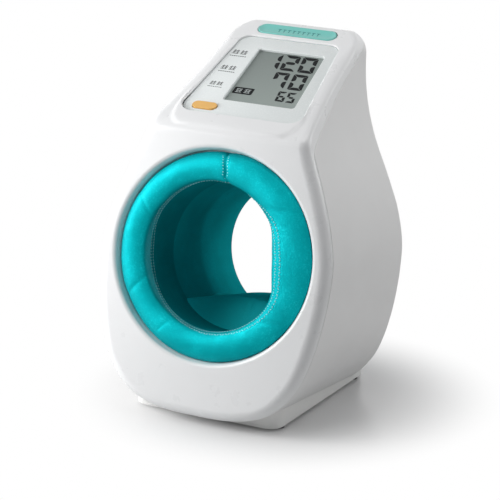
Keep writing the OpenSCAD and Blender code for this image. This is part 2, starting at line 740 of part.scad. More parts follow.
// Foot with its saddle ribs, and what closes it below
foot_low = pad_h + bottom_t;
saddle_y = [58, 118];
saddle_w = 60;
saddle_t = 3;
contact_t = 0.5;
tray_l = 2 * cell_l + cell_gap + 2 * (tray_wall + contact_t);
tray_d = 4 * cell_r + cell_gap + 2 * tray_wall;
tray_y1 = rear_inner_y - 3;
tray_y0 = tray_y1 - tray_d;
cell_z = foot_low + cell_r + 0.6;
tray_top = cell_z + cell_r + tray_wall;
tray_rim = 6;
contact_w = 10;
boss_side_gap = 5;
boss_front_gap = 17;
boss_tray_gap = 25.3;
bottom_screw_x = foot_w / 2 - wall - boss_r - boss_side_gap;
bottom_screw_y = [foot_corner_r + boss_r + boss_front_gap, tray_y0 + middle_y - boss_tray_gap];
bottom_screws_at = [for (x = [-bottom_screw_x, bottom_screw_x], y = bottom_screw_y) [x, y]];
module foot() {
    color("whitesmoke") difference() {
        union() {
            difference() {
                foot_wedge(0, foot_low);
                foot_cavity();
            }
            for (y = saddle_y) translate([-saddle_w / 2, y - middle_y, foot_low + 4])
                cube([saddle_w, saddle_t, ring_height / 2]);
            intersection() {
                for (p = bottom_screws_at) translate([p[0], p[1] - middle_y, foot_low])
                    cylinder(r = boss_r, h = foot_front_h, $fn = 24);
                foot_wedge(0, foot_low);
            }
        }
        on_tunnel() tunnel_disc(drum_outer_r, 0, tunnel_reach);
        translate([-tray_l / 2 - foot_gap, tray_y0 - foot_gap, 0])
            cube([tray_l + 2 * foot_gap, tray_d + 2 * foot_gap, tray_top + tray_d]);
        for (p = bottom_screws_at) translate([p[0], p[1] - middle_y, foot_low - 1])
            cylinder(r = screw_r + screw_gap, h = bottom_screw_l + 2, $fn = 24);
    }
}
module foot_cavity() {
    r = foot_corner_r - wall;
    x = foot_w / 2 - wall - r;
    y0 = -middle_y + wall + r;
    y1 = foot_l - middle_y - wall - r;
    intersection() {
        linear_extrude(2 * foot_front_h) polygon(rounded([[-x, y0], [x, y0], [x, y1], [-x, y1]], r, 6));
        side_prism([
            [-middle_y, foot_low - 1],
            [foot_l - middle_y, foot_low - 1],
            [foot_l - middle_y, foot_rear_h - wall],
            [-middle_y, foot_front_h - wall]]);
    }
}
// The battery door's slot runs to the rear edge of the bottom plate, with a groove down each side.
door_w = tray_l + 2;
door_y0 = tray_y0 - 2;
door_y1 = foot_l - middle_y;
tongue_w = 1.2;
tongue_t = 0.8;
tongue_z = pad_h + (bottom_t - tongue_t) / 2;
grip_l = 30;
grip_pitch = 3;
grip_depth = 0.6;
module bottom_plate() {
    r = foot_corner_r;
    x = foot_w / 2 - r;
    y0 = -middle_y + r;
    y1 = foot_l - middle_y - r;
    color("silver") difference() {
        translate([0, 0, pad_h]) linear_extrude(bottom_t)
            polygon(rounded([[-x, y0], [x, y0], [x, y1], [-x, y1]], r, 6));
        translate([-door_w / 2 - door_gap, door_y0 - door_gap, 0])
            cube([door_w + 2 * door_gap, far, foot_front_h]);
        translate([-door_w / 2 - tongue_w - 2 * door_gap, door_y0 - door_gap, tongue_z - door_gap])
            cube([door_w + 2 * tongue_w + 4 * door_gap, far, tongue_t + 2 * door_gap]);
        for (p = bottom_screws_at) translate([p[0], p[1] - middle_y, 0]) {
            cylinder(r = screw_r + screw_gap, h = foot_front_h, $fn = 24);
            cylinder(r = screw_head_r + 0.2, h = pad_h + bottom_head_t, $fn = 24);
        }
    }
}
module battery_door() {
    color("silver") difference() {
        union() {
            translate([-door_w / 2, door_y0, pad_h]) cube([door_w, door_y1 - door_y0, bottom_t - door_gap]);
            translate([-door_w / 2 - tongue_w, door_y0, tongue_z])
                cube([door_w + 2 * tongue_w, door_y1 - door_y0 - foot_corner_r, tongue_t]);
        }
        for (i = [0:4]) translate([-grip_l / 2, door_y1 - 12 - grip_pitch * i, pad_h - 1])
            cube([grip_l, 1.2, 1 + grip_depth]);
    }
}
rubber_x = foot_w / 2 - rubber_r - 1;
rubber_y = [foot_corner_r + rubber_r, foot_l - foot_corner_r - rubber_r];
rubber_places = [for (x = [-rubber_x, rubber_x], y = rubber_y) [x, y]];
module rubber_feet() {
    color("black") for (p = rubber_places) translate([p[0], p[1] - middle_y, 0])
        cylinder(r = rubber_r, h = pad_h, $fn = 32);
}

// Batteries
cell_nub_r = 2.7;
cell_nub_h = 0.5;
module battery_tray() {
    color("gainsboro") difference() {
        union() {
            translate([-tray_l / 2, tray_y0, foot_low]) cube([tray_l, tray_d, tray_top - foot_low]);
            translate([-tray_l / 2 - tray_rim, tray_y0 - tray_rim, foot_low])
                cube([tray_l + 2 * tray_rim, tray_d + tray_rim, tray_wall]);
        }
        translate([-tray_l / 2 + tray_wall, tray_y0 + tray_wall, foot_low - 1])
            cube([tray_l - 2 * tray_wall, tray_d - 2 * tray_wall, tray_top - tray_wall - foot_low + 1]);
    }
}
function cell_y(row) = tray_y0 + tray_wall + cell_r + row * (2 * cell_r + cell_gap);
module battery_cells() {
    color("goldenrod") for (row = [0, 1], side = [-1, 1])
        translate([side * (cell_l + cell_gap) / 2, cell_y(row), cell_z]) rotate([0, 90, 0]) {
            cylinder(r = cell_r, h = cell_l - 2 * cell_nub_h, center = true, $fn = 48);
            cylinder(r = cell_nub_r, h = cell_l, center = true, $fn = 24);
        }
}
module battery_contacts() {
    color("silver") for (row = [0, 1], side = [-1, 1])
        translate([side * (tray_l / 2 - tray_wall - contact_t / 2), cell_y(row), cell_z])
            cube([contact_t, contact_w, contact_w], center = true);
}

// Air system
nipple_r = 2;
nipple_l = 6;
pump_y = 14;
pump_z = foot_front_h + pump_r + 3.5;
bracket_y = pump_y + 6;
bracket_l = 18;
module pump_at() {
    translate([-pump_x, pump_y - middle_y, pump_z]) rotate([-90, 0, 0]) children();
}
module air_pump() {
    color("silver") pump_at() {
        cylinder(r = pump_r, h = pump_l * 0.55, $fn = 48);
        translate([0, 0, pump_l * 0.55 - eps]) cylinder(r = pump_r - 1.5, h = pump_l * 0.45, $fn = 48);
        translate([0, 0, pump_l - eps]) cylinder(r = nipple_r, h = nipple_l, $fn = 24);
    }
}
module pump_bracket() {
    color("dimgray") difference() {
        translate([-pump_x - pump_r, bracket_y - middle_y, 0]) cube([2 * pump_r, bracket_l, pump_z - 4]);
        pump_at() translate([0, 0, -1]) cylinder(r = pump_r, h = pump_l, $fn = 48);
        foot_wedge(0, -1);
    }
}
valve_x = 46;
valve_clip_l = 8;
valve_y = 24;
valve_z = foot_front_h + valve_r + 3;
module exhaust_valve() {
    color("silver") translate([valve_x, valve_y - middle_y, valve_z]) rotate([-90, 0, 0]) {
        cylinder(r = valve_r, h = valve_l, $fn = 32);
        translate([0, 0, valve_l - eps]) cylinder(r = nipple_r, h = nipple_l, $fn = 24);
    }
    color("silver") difference() {
        translate([valve_x - valve_r, valve_y + 4 - middle_y, 0])
            cube([2 * valve_r, valve_clip_l, valve_z - 3]);
        translate([valve_x, valve_y - middle_y - 1, valve_z]) rotate([-90, 0, 0])
            cylinder(r = valve_r - 0.5, h = valve_l, $fn = 32);
        foot_wedge(0, -1);
    }
}
jack_block = 11;
module adapter_socket() {
    color("black") difference() {
        union() {
            translate([jack_x, rear_wall_y, jack_z]) rotate([90, 0, 0])
                cylinder(r = jack_nose_r - 0.1, h = wall + 2, $fn = 32);
            translate([jack_x - jack_block / 2, rear_inner_y - jack_l - 3, jack_z - jack_block / 2])
                cube([jack_block, jack_l + 3, jack_block]);
        }
        translate([jack_x, rear_wall_y + 1, jack_z]) rotate([90, 0, 0])
            cylinder(r = jack_r, h = jack_l + 1, $fn = 32);
    }
}

// Hoses, from nipple to nipple: past the drum they keep a clearance from it, at an angle from the top.
hose_sides = 8;
hose_end = 0.2;
pump_tip = [-pump_x, pump_y + pump_l + nipple_l + hose_end, pump_z];
valve_tip = [valve_x, valve_y + valve_l + nipple_l + hose_end, valve_z];
sensor_tip = [sensor_x, board_y - sensor_l - hose_end, sensor_z];
function at_drum(g, a, clear) = let (r = drum_outer_r + clear) [
    -r * sin(g),
    a * cos(tunnel_slope) + r * cos(g) * sin(tunnel_slope),
    ring_height + r * cos(g) * cos(tunnel_slope) - a * sin(tunnel_slope)];
port_out = 360 - port_angle;
pump_hose = [pump_tip, pump_tip + [0, 5, 0], pump_tip + [-4, 13, 2],
    at_drum(142.6, 110.5, 14), at_drum(133, 112, 10.7), at_drum(122, 111, 8), at_drum(109, 108.6, 6.5),
    at_drum(94, 106, 6), at_drum(79, 104.7, 7), at_drum(65, 104.6, 9.4), at_drum(51, 107, 12),
    at_drum(36.5, 110, 15.7), at_drum(23.5, 111.6, 18.3), sensor_tip + [-38, -8, -10],
    sensor_tip + [-18, -9, -3], sensor_tip + [-7, -9, 0], sensor_tip + [-2, -7, 0], sensor_tip + [0, -4, 0],
    sensor_tip];
bladder_hose = [at_drum(port_out, port_a, port_l + hose_end), at_drum(port_out, port_a, 7),
    [-55.5, 46.5, 57], [-61, 51, 54], [-67, 60, 50], [-69, 74, 46], [-62, 86, 43],
    (pump_hose[2] + pump_hose[3]) / 2];
valve_hose = [valve_tip, valve_tip + [0, 6, 0], [42, 72, 34], [30, 84, 32], [10, 90, 31], [-14, 90, 31],
    [-32, 90, 33], [-44, 91, 37], pump_hose[2] + [0, 2.5, -2]];
module sweep(route, r) {
    n = len(route);
    function ahead(i) = unit(route[min(i + 1, n - 1)] - route[max(i - 1, 0)]);
    points = [for (i = [0:n - 1]) let (
        d = ahead(i),
        side = unit(cross(d, abs(d[2]) > 0.9 ? [0, 1, 0] : [0, 0, 1])),
        up = cross(side, d))
        for (j = [0:hose_sides - 1]) route[i] - [0, middle_y, 0]
            + r * (side * cos(j * 360 / hose_sides) + up * sin(j * 360 / hose_sides))];
    polyhedron(points, concat(
        [[for (j = [hose_sides - 1:-1:0]) j]],
        [[for (j = [0:hose_sides - 1]) (n - 1) * hose_sides + j]],
        [for (i = [0:n - 2], j = [0:hose_sides - 1], half = [0, 1]) let (
            a = i * hose_sides + j,
            b = i * hose_sides + (j + 1) % hose_sides)
            half == 0 ? [a, b, a + hose_sides] : [b, b + hose_sides, a + hose_sides]]));
}
module air_hoses() {
    color("lightgray") {
        sweep(pump_hose, hose_r);
        sweep(valve_hose, hose_r);
        sweep(bladder_hose, hose_r);
    }
}

// Screws
module cover_screws() {
    color("silver") for (p = screw_places) screw_axis(p) {
        translate([0, 0, seam_k(p[1]) - screw_engaged + 1])
            cylinder(r = screw_r, h = screw_engaged - 1 + tower_floor, $fn = 24);
        translate([0, 0, seam_k(p[1]) + tower_floor]) difference() {
            cylinder(r = screw_head_r, h = cover_head_t, $fn = 32);
            translate([0, 0, cover_head_t / 2]) cylinder(r = screw_hex_r, h = cover_head_t, $fn = 6);
        }
    }
}
module bottom_screws() {
    color("silver") for (p = bottom_screws_at) translate([p[0], p[1] - middle_y, pad_h]) {
        difference() {
            cylinder(r = screw_head_r, h = bottom_head_t, $fn = 32);
            translate([0, 0, -1]) cylinder(r = screw_hex_r, h = 1 + bottom_head_t * 0.6, $fn = 6);
        }
        translate([0, 0, bottom_head_t - eps]) cylinder(r = screw_r, h = bottom_screw_l, $fn = 24);
    }
}

front_cover();
rear_cover();
foot();
bottom_plate();
rubber_feet();
battery_door();
battery_cells();
battery_tray();
battery_contacts();
display_panel();
lcd_glass();
lcd_holder();
start_button();
memory_button();
display_board();
push_switches();
main_board();
buzzer();
pressure_sensor();
tunnel_drum();
ring_frame();
rear_ring();
air_bladder();
ring_pad();
tunnel_lining();
arm_rest();
air_pump();
pump_bracket();
exhaust_valve();
air_hoses();
adapter_socket();
cover_screws();
bottom_screws();
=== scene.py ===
import bpy
import bmesh
import json
import numpy as np
from numpy.linalg import norm
from math import atan2, cos, degrees, exp, hypot, pi, radians, sin, sqrt
from mathutils import Matrix, Vector
from mathutils.bvhtree import BVHTree
from mathutils.interpolate import poly_3d_calc

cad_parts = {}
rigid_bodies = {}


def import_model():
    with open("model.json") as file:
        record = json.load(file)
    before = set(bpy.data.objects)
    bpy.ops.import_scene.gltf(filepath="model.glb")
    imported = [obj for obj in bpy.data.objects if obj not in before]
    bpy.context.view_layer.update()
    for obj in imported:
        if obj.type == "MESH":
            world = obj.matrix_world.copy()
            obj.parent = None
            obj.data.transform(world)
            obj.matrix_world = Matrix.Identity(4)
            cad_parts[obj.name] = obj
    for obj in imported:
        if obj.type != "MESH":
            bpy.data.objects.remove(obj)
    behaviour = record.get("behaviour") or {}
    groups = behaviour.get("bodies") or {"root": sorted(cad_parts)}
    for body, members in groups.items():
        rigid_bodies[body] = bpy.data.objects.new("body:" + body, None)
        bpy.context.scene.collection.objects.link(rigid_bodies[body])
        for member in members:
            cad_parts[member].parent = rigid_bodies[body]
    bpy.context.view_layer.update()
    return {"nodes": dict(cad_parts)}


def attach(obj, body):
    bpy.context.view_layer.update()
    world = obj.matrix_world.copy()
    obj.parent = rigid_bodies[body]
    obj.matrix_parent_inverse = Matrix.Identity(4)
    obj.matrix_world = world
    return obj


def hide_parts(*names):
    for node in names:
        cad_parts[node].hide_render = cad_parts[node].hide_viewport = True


for leftover in list(bpy.data.objects):  # the startup file's cube, lamp and camera
    bpy.data.objects.remove(leftover)
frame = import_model()
scene = bpy.context.scene
nodes = frame["nodes"]
print("frame loaded:", len(nodes), "nodes")

mm = 0.001

# sizes of the housing, as in the CAD model
body = {
    "width": 212.6, "ringHeight": 143.5, "below": 138.0, "above": 188.32, "bellyDrop": 2.0,
    "hipHalf": 84.0, "hipDrop": 106.5, "shoulderHalf": 87.7, "shoulderRise": 69.7, "shoulderSlope": 20.9,
    "headWidth": 130.6, "headRise": 163.0, "headCorner": 18.0, "lean": 9.3, "slope": 4.2, "depth": 175.4,
    "taper": 0.75, "frontEdge": 10.0, "rearEdge": 9.0, "seam": 9.5, "seamHood": 12.0, "skin": 2.0,
    "footLength": 197.0, "holeR": 90.3, "collarDepth": 10.9, "collarR": 88.9, "collarStep": 6.8, "rimR": 3.8,
    "tunnelSlope": 11.0, "bendBlend": 6.0, "rearOpening": 70.0, "points": 360, "seamGap": 0.35, "lipR": 0.6,
    "rows": {"edge": 25, "side": 161, "rearEdge": 17, "rear": 25, "frontSkin": 34, "rearSkin": 76},
}
hood = {"slope": 26.3, "y": 59.4, "z": 266.8, "sink": 1.8, "lowWidth": 114.2, "highWidth": 93.0,
        "below": 25.9, "above": 92.715, "corners": (14.0, 11.5, 11.0, 11.0)}
ringHeight = body["ringHeight"]


def sinCos(angle):
    return sin(radians(angle)), cos(radians(angle))


sinL, cosL = sinCos(body["lean"])
sinB, cosB = sinCos(body["slope"])
sinT, cosT = sinCos(body["tunnelSlope"])
sinH, cosH = sinCos(hood["slope"])
middleY = (body["footLength"] - (body["below"] - body["frontEdge"]) * sinL) / 2
risePerDepth = (cosL - sinL * sinH / cosH) / (sinB + cosB * sinH / cosH)
hoodBend = ((hood["z"] - ringHeight - hood["y"] * sinH / cosH + hood["sink"] / cosH)
            / (cosL - sinL * sinH / cosH))
seamHoodDepth = body["seamHood"] * hypot(1, risePerDepth)


# frames
# world points of offsets u, rises w and depths k
def place(u, w, k):
    narrow = 1 - body["taper"] / 1000 * np.maximum(0, w - 40) * k / body["depth"]
    return np.stack([u * narrow, w * sinL + k * cosB - middleY, ringHeight + w * cosL - k * sinB], -1)


def unplace(p):  # rise and depth of world points
    y, z = p[..., 1] + middleY, p[..., 2] - ringHeight
    det = -(sinL * sinB + cosB * cosL)
    return (-sinB * y - cosB * z) / det, (sinL * z - cosL * y) / det


def facePoint(x, a, z):  # square to the leaning front: a runs to the rear
    return np.stack([x + 0 * a, z * sinL + a * cosL - middleY, ringHeight + z * cosL - a * sinL], -1)


def tunnelPoint(x, a, z):  # along the arm tunnel
    return np.stack([x + 0 * a, z * sinT + a * cosT - middleY, ringHeight + z * cosT - a * sinT], -1)


def panelPoint(x, v, n):  # on the sloping hood: v runs up it, n stands on it
    y, z = hood["y"] - middleY + v * cosH - n * sinH, hood["z"] + v * sinH + n * cosH
    return np.stack([x + 0 * v, y, z], -1)


# mesh helpers; edges sharper than this many degrees stay sharp
sharpFrom = 35


# a mesh object from points in mm
def meshPiece(name, points, faces, smooth=sharpFrom):
    mesh = bpy.data.meshes.new(name)
    mesh.from_pydata((np.asarray(points) * mm).tolist(), [], faces)
    mesh.validate()
    return finishMesh(name, mesh, smooth)


def newObject(name, data):
    made = bpy.data.objects.new(name, data)
    scene.collection.objects.link(made)
    return made


def finishMesh(name, mesh, smooth):
    piece = newObject(name, mesh)
    mesh.shade_smooth()
    mesh.set_sharp_from_angle(angle=radians(smooth))
    return piece


def ringFaces(count, n, closed):
    rows = range(count if closed else count - 1)
    return [(j * n + i, ((j + 1) % count) * n + i, ((j + 1) % count) * n + (i + 1) % n, j * n + (i + 1) % n)
            for j in rows for i in range(n)]


# closed rings of points, joined into a tube with caps, or into a closed ring of tubes
def loftPiece(name, rings, closed=False, flip=False, smooth=sharpFrom):
    rings = np.asarray(rings)
    count, n = rings.shape[:2]
    faces = ringFaces(count, n, closed)
    if not closed:
        faces += [tuple(range(n)), tuple((count - 1) * n + i for i in reversed(range(n)))]
    if flip:
        faces = [tuple(reversed(f)) for f in faces]
    return meshPiece(name, rings.reshape(-1, 3), faces, smooth)


# turns a piece with modifiers into a plain mesh
def applyModifiers(piece):
    bpy.context.view_layer.update()
    graph = bpy.context.evaluated_depsgraph_get()
    mesh = bpy.data.meshes.new_from_object(piece.evaluated_get(graph), depsgraph=graph)
    piece.modifiers.clear()
    old = piece.data
    piece.data = mesh
    bpy.data.meshes.remove(old)
    return piece


# how near a face lies to the uncut surface, in mm, and how level with it, where a cut left it alone
untouched = {"away": 0.02, "level": 0.95}


# gives the faces that a cut left alone the normals that they had before it
def keepNormals(piece, before):
    before.calc_loop_triangles()
    corners = [v.co.copy() for v in before.vertices]
    normals = [v.normal.copy() for v in before.vertices]
    triangles = [tuple(t.vertices) for t in before.loop_triangles]
    tree = BVHTree.FromPolygons(corners, triangles)
    kept = []
    for point in piece.data.vertices:
        spot, facing, index, away = tree.find_nearest(point.co)
        ids = triangles[index]
        shares = poly_3d_calc([corners[i] for i in ids], spot)
        kept.append(sum((normals[i] * share for i, share in zip(ids, shares)), Vector()).normalized())
    wanted = [(0.0, 0.0, 0.0)] * len(piece.data.loops)
    for face in piece.data.polygons:
        spot, facing, index, away = tree.find_nearest(face.center)
        if away < untouched["away"] * mm and facing.dot(face.normal) > untouched["level"]:
            for loop in face.loop_indices:
                wanted[loop] = kept[piece.data.loops[loop].vertex_index]
    piece.data.normals_split_custom_set(wanted)


# takes the cutters out of a piece
def cutPiece(piece, cutters):
    before = piece.data.copy()
    for cutter in cutters:
        tool = piece.modifiers.new("cut", "BOOLEAN")
        tool.operation = "DIFFERENCE"
        tool.object = cutter
        tool.solver = "MANIFOLD"
    applyModifiers(piece)
    for cutter in cutters:
        bpy.data.objects.remove(cutter)
    piece.data.shade_smooth()
    piece.data.set_sharp_from_angle(angle=radians(sharpFrom))
    keepNormals(piece, before)
    bpy.data.meshes.remove(before)
    return piece


# a copy of a CAD node whose sharp edges are rounded
def softened(name, node, width):
    angle = 30
    mesh = nodes[node].data.copy()
    mesh.materials.clear()
    work = bmesh.new()
    work.from_mesh(mesh)
    bmesh.ops.remove_doubles(work, verts=work.verts, dist=2e-6)
    bmesh.ops.dissolve_limit(work, angle_limit=radians(0.6), verts=work.verts, edges=work.edges)
    work.to_mesh(mesh)
    work.free()
    piece = finishMesh(name, mesh, angle)
    bevel = piece.modifiers.new("edges", "BEVEL")
    bevel.width = width * mm
    bevel.segments = 3
    bevel.limit_method = "ANGLE"
    bevel.angle_limit = radians(angle)
    bevel.harden_normals = True
    applyModifiers(piece)
    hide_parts(node)
    return piece


# outline of a convex shape with round corners, anticlockwise
def roundedPolygon(centres, r, n=10):
    points = []
    for before, here, after in zip(centres[-1:] + centres[:-1], centres, centres[1:] + centres[:1]):
        start = atan2(here[1] - before[1], here[0] - before[0]) - pi / 2
        end = atan2(after[1] - here[1], after[0] - here[0]) - pi / 2
        turn = (end - start) % (2 * pi)
        points += [(here[0] + r * cos(t), here[1] + r * sin(t))
                   for t in (start + turn * j / n for j in range(n + 1))]
    return np.array(points)


# outline of the panel: each corner's middle is pulled in by its own radius
def panelOutline(grow):
    tall = hood["above"] + hood["below"]
    tilt = atan2((hood["lowWidth"] - hood["highWidth"]) / 2, tall)
    up = degrees(tilt)
    corners = ((-1, 0, 180 - up, 270), (1, 0, -90, up), (1, 1, up, 90), (-1, 1, 90, 180 - up))
    points = []
    for (side, top, first, last), r in zip(corners, hood["corners"]):
        v = hood["above"] - r if top else r - hood["below"]
        share = (v + hood["below"]) / tall
        half = hood["lowWidth"] / 2 + (hood["highWidth"] - hood["lowWidth"]) / 2 * share
        centre = np.array([side * (half - r / cos(tilt)), v])
        points += [centre + (r + grow) * np.array([cos(t), sin(t)])
                   for t in np.radians(np.linspace(first, last, 15))]
    return np.array(points)


def pillOutline(length, width, grow, centre=(0, 0)):
    half = (length - width) / 2
    return roundedPolygon([(-half, 0), (half, 0)], width / 2 + grow, 24) + np.array(centre)


def onPanel(outline, n):
    return panelPoint(outline[:, 0], outline[:, 1], np.full(len(outline), n))


# cuts a recess whose edge rolls in with radius r
def recessCutter(name, outlineOf, bottom, top, r, clear):
    levels = [(bottom, clear), (top - r, clear)]
    levels += [(top - r + r * sin(t), clear + r - r * cos(t)) for t in np.radians([25, 45, 65, 80])]
    levels += [(top + 0.05, clear + r + 0.3), (top + 12, clear + r + 0.3)]
    return loftPiece(name, [onPanel(outlineOf(grow), z) for z, grow in levels], flip=True)


# node helpers
def nodeTree(owner):
    owner.use_nodes = True
    owner.node_tree.nodes.clear()
    return owner.node_tree


# a node with its inputs linked or set; a kind without a prefix is a shader node
def addNode(tree, kind, inputs=None, **settings):
    made = tree.nodes.new(kind if "Node" in kind else "ShaderNode" + kind)
    for name, value in settings.items():
        setattr(made, name, value)
    for name, value in (inputs or {}).items():
        if isinstance(value, bpy.types.NodeSocket):
            tree.links.new(value, made.inputs[name])
        else:
            made.inputs[name].default_value = value
    return made


def rgb(*colour):
    return (*colour, 1.0) if len(colour) == 3 else (colour[0],) * 3 + (1.0,)


def noise(tree, where, scale, detail=2.0, roughness=0.5):
    inputs = {"Vector": where, "Scale": scale, "Detail": detail, "Roughness": roughness}
    return addNode(tree, "TexNoise", inputs).outputs["Fac"]


def spread(tree, value, low, high, start=0.3, end=0.7):
    inputs = {"Value": value, "From Min": start, "From Max": end, "To Min": low, "To Max": high}
    return addNode(tree, "MapRange", inputs).outputs[0]


def mixed(tree, share, a, b):
    return addNode(tree, "Mix", {0: share, 6: a, 7: b}, data_type="RGBA").outputs[2]


def maths(tree, operation, a, b=0.0, c=0.0, clamp=False):
    return addNode(tree, "Math", {0: a, 1: b, 2: c}, operation=operation, use_clamp=clamp).outputs[0]


def bumped(tree, height, strength, distance, before=None):
    inputs = {"Height": height, "Strength": strength, "Distance": distance}
    if before is not None:
        inputs["Normal"] = before
    return addNode(tree, "Bump", inputs).outputs[0]


def vectorLength(tree, vector):
    return addNode(tree, "VectorMath", {0: vector}, operation="LENGTH").outputs["Value"]


looks = {}


# the empty tree of a new material, and the place on the piece
def newMaterial(name):
    looks[name] = bpy.data.materials.new(name)
    tree = nodeTree(looks[name])
    return tree, addNode(tree, "TexCoord").outputs["Object"]


# ends a material with a shader of these inputs
def finished(tree, **sockets):
    shader = addNode(tree, "BsdfPrincipled", {k.replace("_", " "): v for k, v in sockets.items()})
    addNode(tree, "OutputMaterial", {"Surface": shader.outputs[0]})


# outline and surfaces of the housing
def bezier(p, n):
    t = np.linspace(0, 1, n, endpoint=False)[:, None]
    p = [np.array(q, float) for q in p]
    return (1 - t) ** 3 * p[0] + 3 * (1 - t) ** 2 * t * p[1] + 3 * (1 - t) * t * t * p[2] + t ** 3 * p[3]


# handle lengths of the outline's curves
handles = {"base": 0.74, "dip": 1.5, "hip": (13, 17.5), "hipShare": 0.85, "bellyLow": 40, "bellyHigh": 24,
           "shoulderLow": 18, "shoulderHigh": 15, "side": 48}


# evenly spaced points and outward directions, anticlockwise from the bottom
def housingOutline(count):
    b, h = body, handles
    low, hip, hipRun = -b["below"], np.array([b["hipHalf"], -b["hipDrop"]]), np.array(h["hip"])
    base = (h["base"] * b["hipHalf"], low - h["dip"])
    belly = np.array([b["width"] / 2, -b["bellyDrop"]])
    shoulder = np.array([b["shoulderHalf"], b["shoulderRise"]])
    run = np.array([-1, 1]) * sinCos(b["shoulderSlope"])
    side = np.array([b["headWidth"] / 2, b["headRise"]])
    corner = np.array([b["headWidth"] / 2 - b["headCorner"], b["above"] - b["headCorner"]])
    arc = np.radians(np.linspace(0, 90, 60))
    half = np.concatenate([
        bezier([(0, low), base, hip - hipRun * h["hipShare"], hip], 200),
        bezier([hip, hip + hipRun, belly - [0, h["bellyLow"]], belly], 200),
        bezier([belly, belly + [0, h["bellyHigh"]], shoulder - run * h["shoulderLow"], shoulder], 200),
        bezier([shoulder, shoulder + run * h["shoulderHigh"], side - [0, h["side"]], side], 200),
        corner + b["headCorner"] * np.stack([np.cos(arc), np.sin(arc)], -1),
        [[0, b["above"]]]])
    dense = np.concatenate([half, half[-2:0:-1] * [-1, 1]])
    ring = np.concatenate([dense, dense[:1]])
    run = np.concatenate([[0], np.cumsum(norm(np.diff(ring, axis=0), axis=1))])
    even = np.linspace(0, run[-1], count, endpoint=False)
    points = np.stack([np.interp(even, run, ring[:, c]) for c in (0, 1)], -1)
    ahead = np.roll(points, -1, 0) - np.roll(points, 1, 0)
    outward = np.stack([ahead[:, 1], -ahead[:, 0]], -1)
    return points, outward / norm(outward, axis=1)[:, None]


# nothing before a turn, h after it, and a soft curve between
def softTurn(h, blend):
    return np.where(h < -blend, 0, np.where(h > blend, h, (h + blend) ** 2 / (4 * blend)))


def frontDepth(w):
    return risePerDepth * softTurn(w - hoodBend, body["bendBlend"])


# depth of the rounded front edge, at a distance inside the side wall
def edgeDepth(w, side, rise):
    r = body["frontEdge"]
    share = np.clip((w - hoodBend + body["bendBlend"]) / (2 * body["bendBlend"]), 0, 1)
    s = np.maximum(0, rise) * risePerDepth * share
    q = np.sqrt(1 + s * s)
    curved = frontDepth(w) + s * (side - r) + r * q - np.sqrt(np.maximum(0, r * r - (r - side) ** 2))
    return np.where(side >= r - r * s / q, frontDepth(w), curved)


def rearDepth(w):
    return (body["depth"] - w * sinL) / cosB


# depth of the seam between the covers, with a soft turn below the hood
def seamDepth(w):
    gap = risePerDepth * (w - hoodBend) + seamHoodDepth - body["seam"]
    return body["seam"] + softTurn(gap, 5 * risePerDepth)


outline, outward = housingOutline(body["points"])


# outward directions of a grid of rings
def gridNormals(rings):
    along = np.gradient(rings, axis=0)
    around = np.roll(rings, -1, 1) - np.roll(rings, 1, 1)
    return unitRows(np.cross(along, around))


# from the start of the front edge, over the side and the rear edge, to the rear opening
def sidePath():
    r, rr, rows = body["frontEdge"], body["rearEdge"], body["rows"]
    rise = outward[:, 1]
    rings, density = [], []
    for side in r * (1 - np.cos(np.radians(np.linspace(90, 0, rows["edge"])))):
        p = outline - outward * side
        rings.append(place(p[:, 0], p[:, 1], edgeDepth(p[:, 1], side, rise)))
        density.append(3)
    front = edgeDepth(outline[:, 1], 0.0, rise)
    rear = rearDepth(outline[:, 1]) - rr
    for t in np.linspace(0, 1, rows["side"])[1:]:
        rings.append(place(outline[:, 0], outline[:, 1], front + (rear - front) * t))
        density.append(1)
    for side in rr * (1 - np.cos(np.radians(np.linspace(0, 90, rows["rearEdge"])[1:]))):
        p = outline - outward * side
        drop = sqrt(max(0, rr * rr - (rr - side) ** 2))
        rings.append(place(p[:, 0], p[:, 1], rearDepth(p[:, 1]) - rr + drop))
        density.append(7)
    last = rings[-1]
    centre = ringHeight - body["depth"] * sinT / cosT
    angle = np.arctan2(last[:, 0], last[:, 2] - centre)
    x, z = body["rearOpening"] * np.sin(angle), body["rearOpening"] * np.cos(angle)
    hole = tunnelPoint(x, (body["depth"] - z * sinT) / cosT, z)
    for t in np.linspace(0, 1, rows["rear"])[1:]:
        rings.append(last + (hole - last) * t)
        density.append(1)
    return np.array(rings), np.array(density, float)


# the stretches of each path before and behind the seam
def splitAtSeam(rings, density, gap):
    rise, depth = unplace(rings)
    beyond = depth - seamDepth(rise)
    step = norm(np.diff(rings, axis=0), axis=-1)
    run = np.concatenate([np.zeros((1, rings.shape[1])), np.cumsum(step, 0)])
    weight = np.concatenate([np.zeros((1, rings.shape[1])), np.cumsum(step * density[1:, None], 0)])
    after, column = np.argmax(beyond > 0, 0), np.arange(rings.shape[1])
    last, first = (after - 1, column), (after, column)
    cut = run[last] + -beyond[last] / (beyond[first] - beyond[last]) * (run[first] - run[last])
    halves = []
    front, rear = body["rows"]["frontSkin"], body["rows"]["rearSkin"]
    for start, end, count in ((0 * cut, cut - gap / 2, front), (cut + gap / 2, run[-1], rear)):
        half = np.empty((count, rings.shape[1], 3))
        for i in range(rings.shape[1]):
            w0, w1 = np.interp([start[i], end[i]], run[:, i], weight[:, i])
            at = np.interp(np.linspace(w0, w1, count), weight[:, i], run[:, i])
            for c in range(3):
                half[:, i, c] = np.interp(at, run[:, i], rings[:, i, c])
        halves.append(half)
    return halves


# a rounded lip at the end of a skin
def lipRings(end, towards, normal, r):
    return [end - towards * r - normal * r + r * (towards * sin(t) + normal * cos(t))
            for t in np.radians([0, 30, 60, 90])]


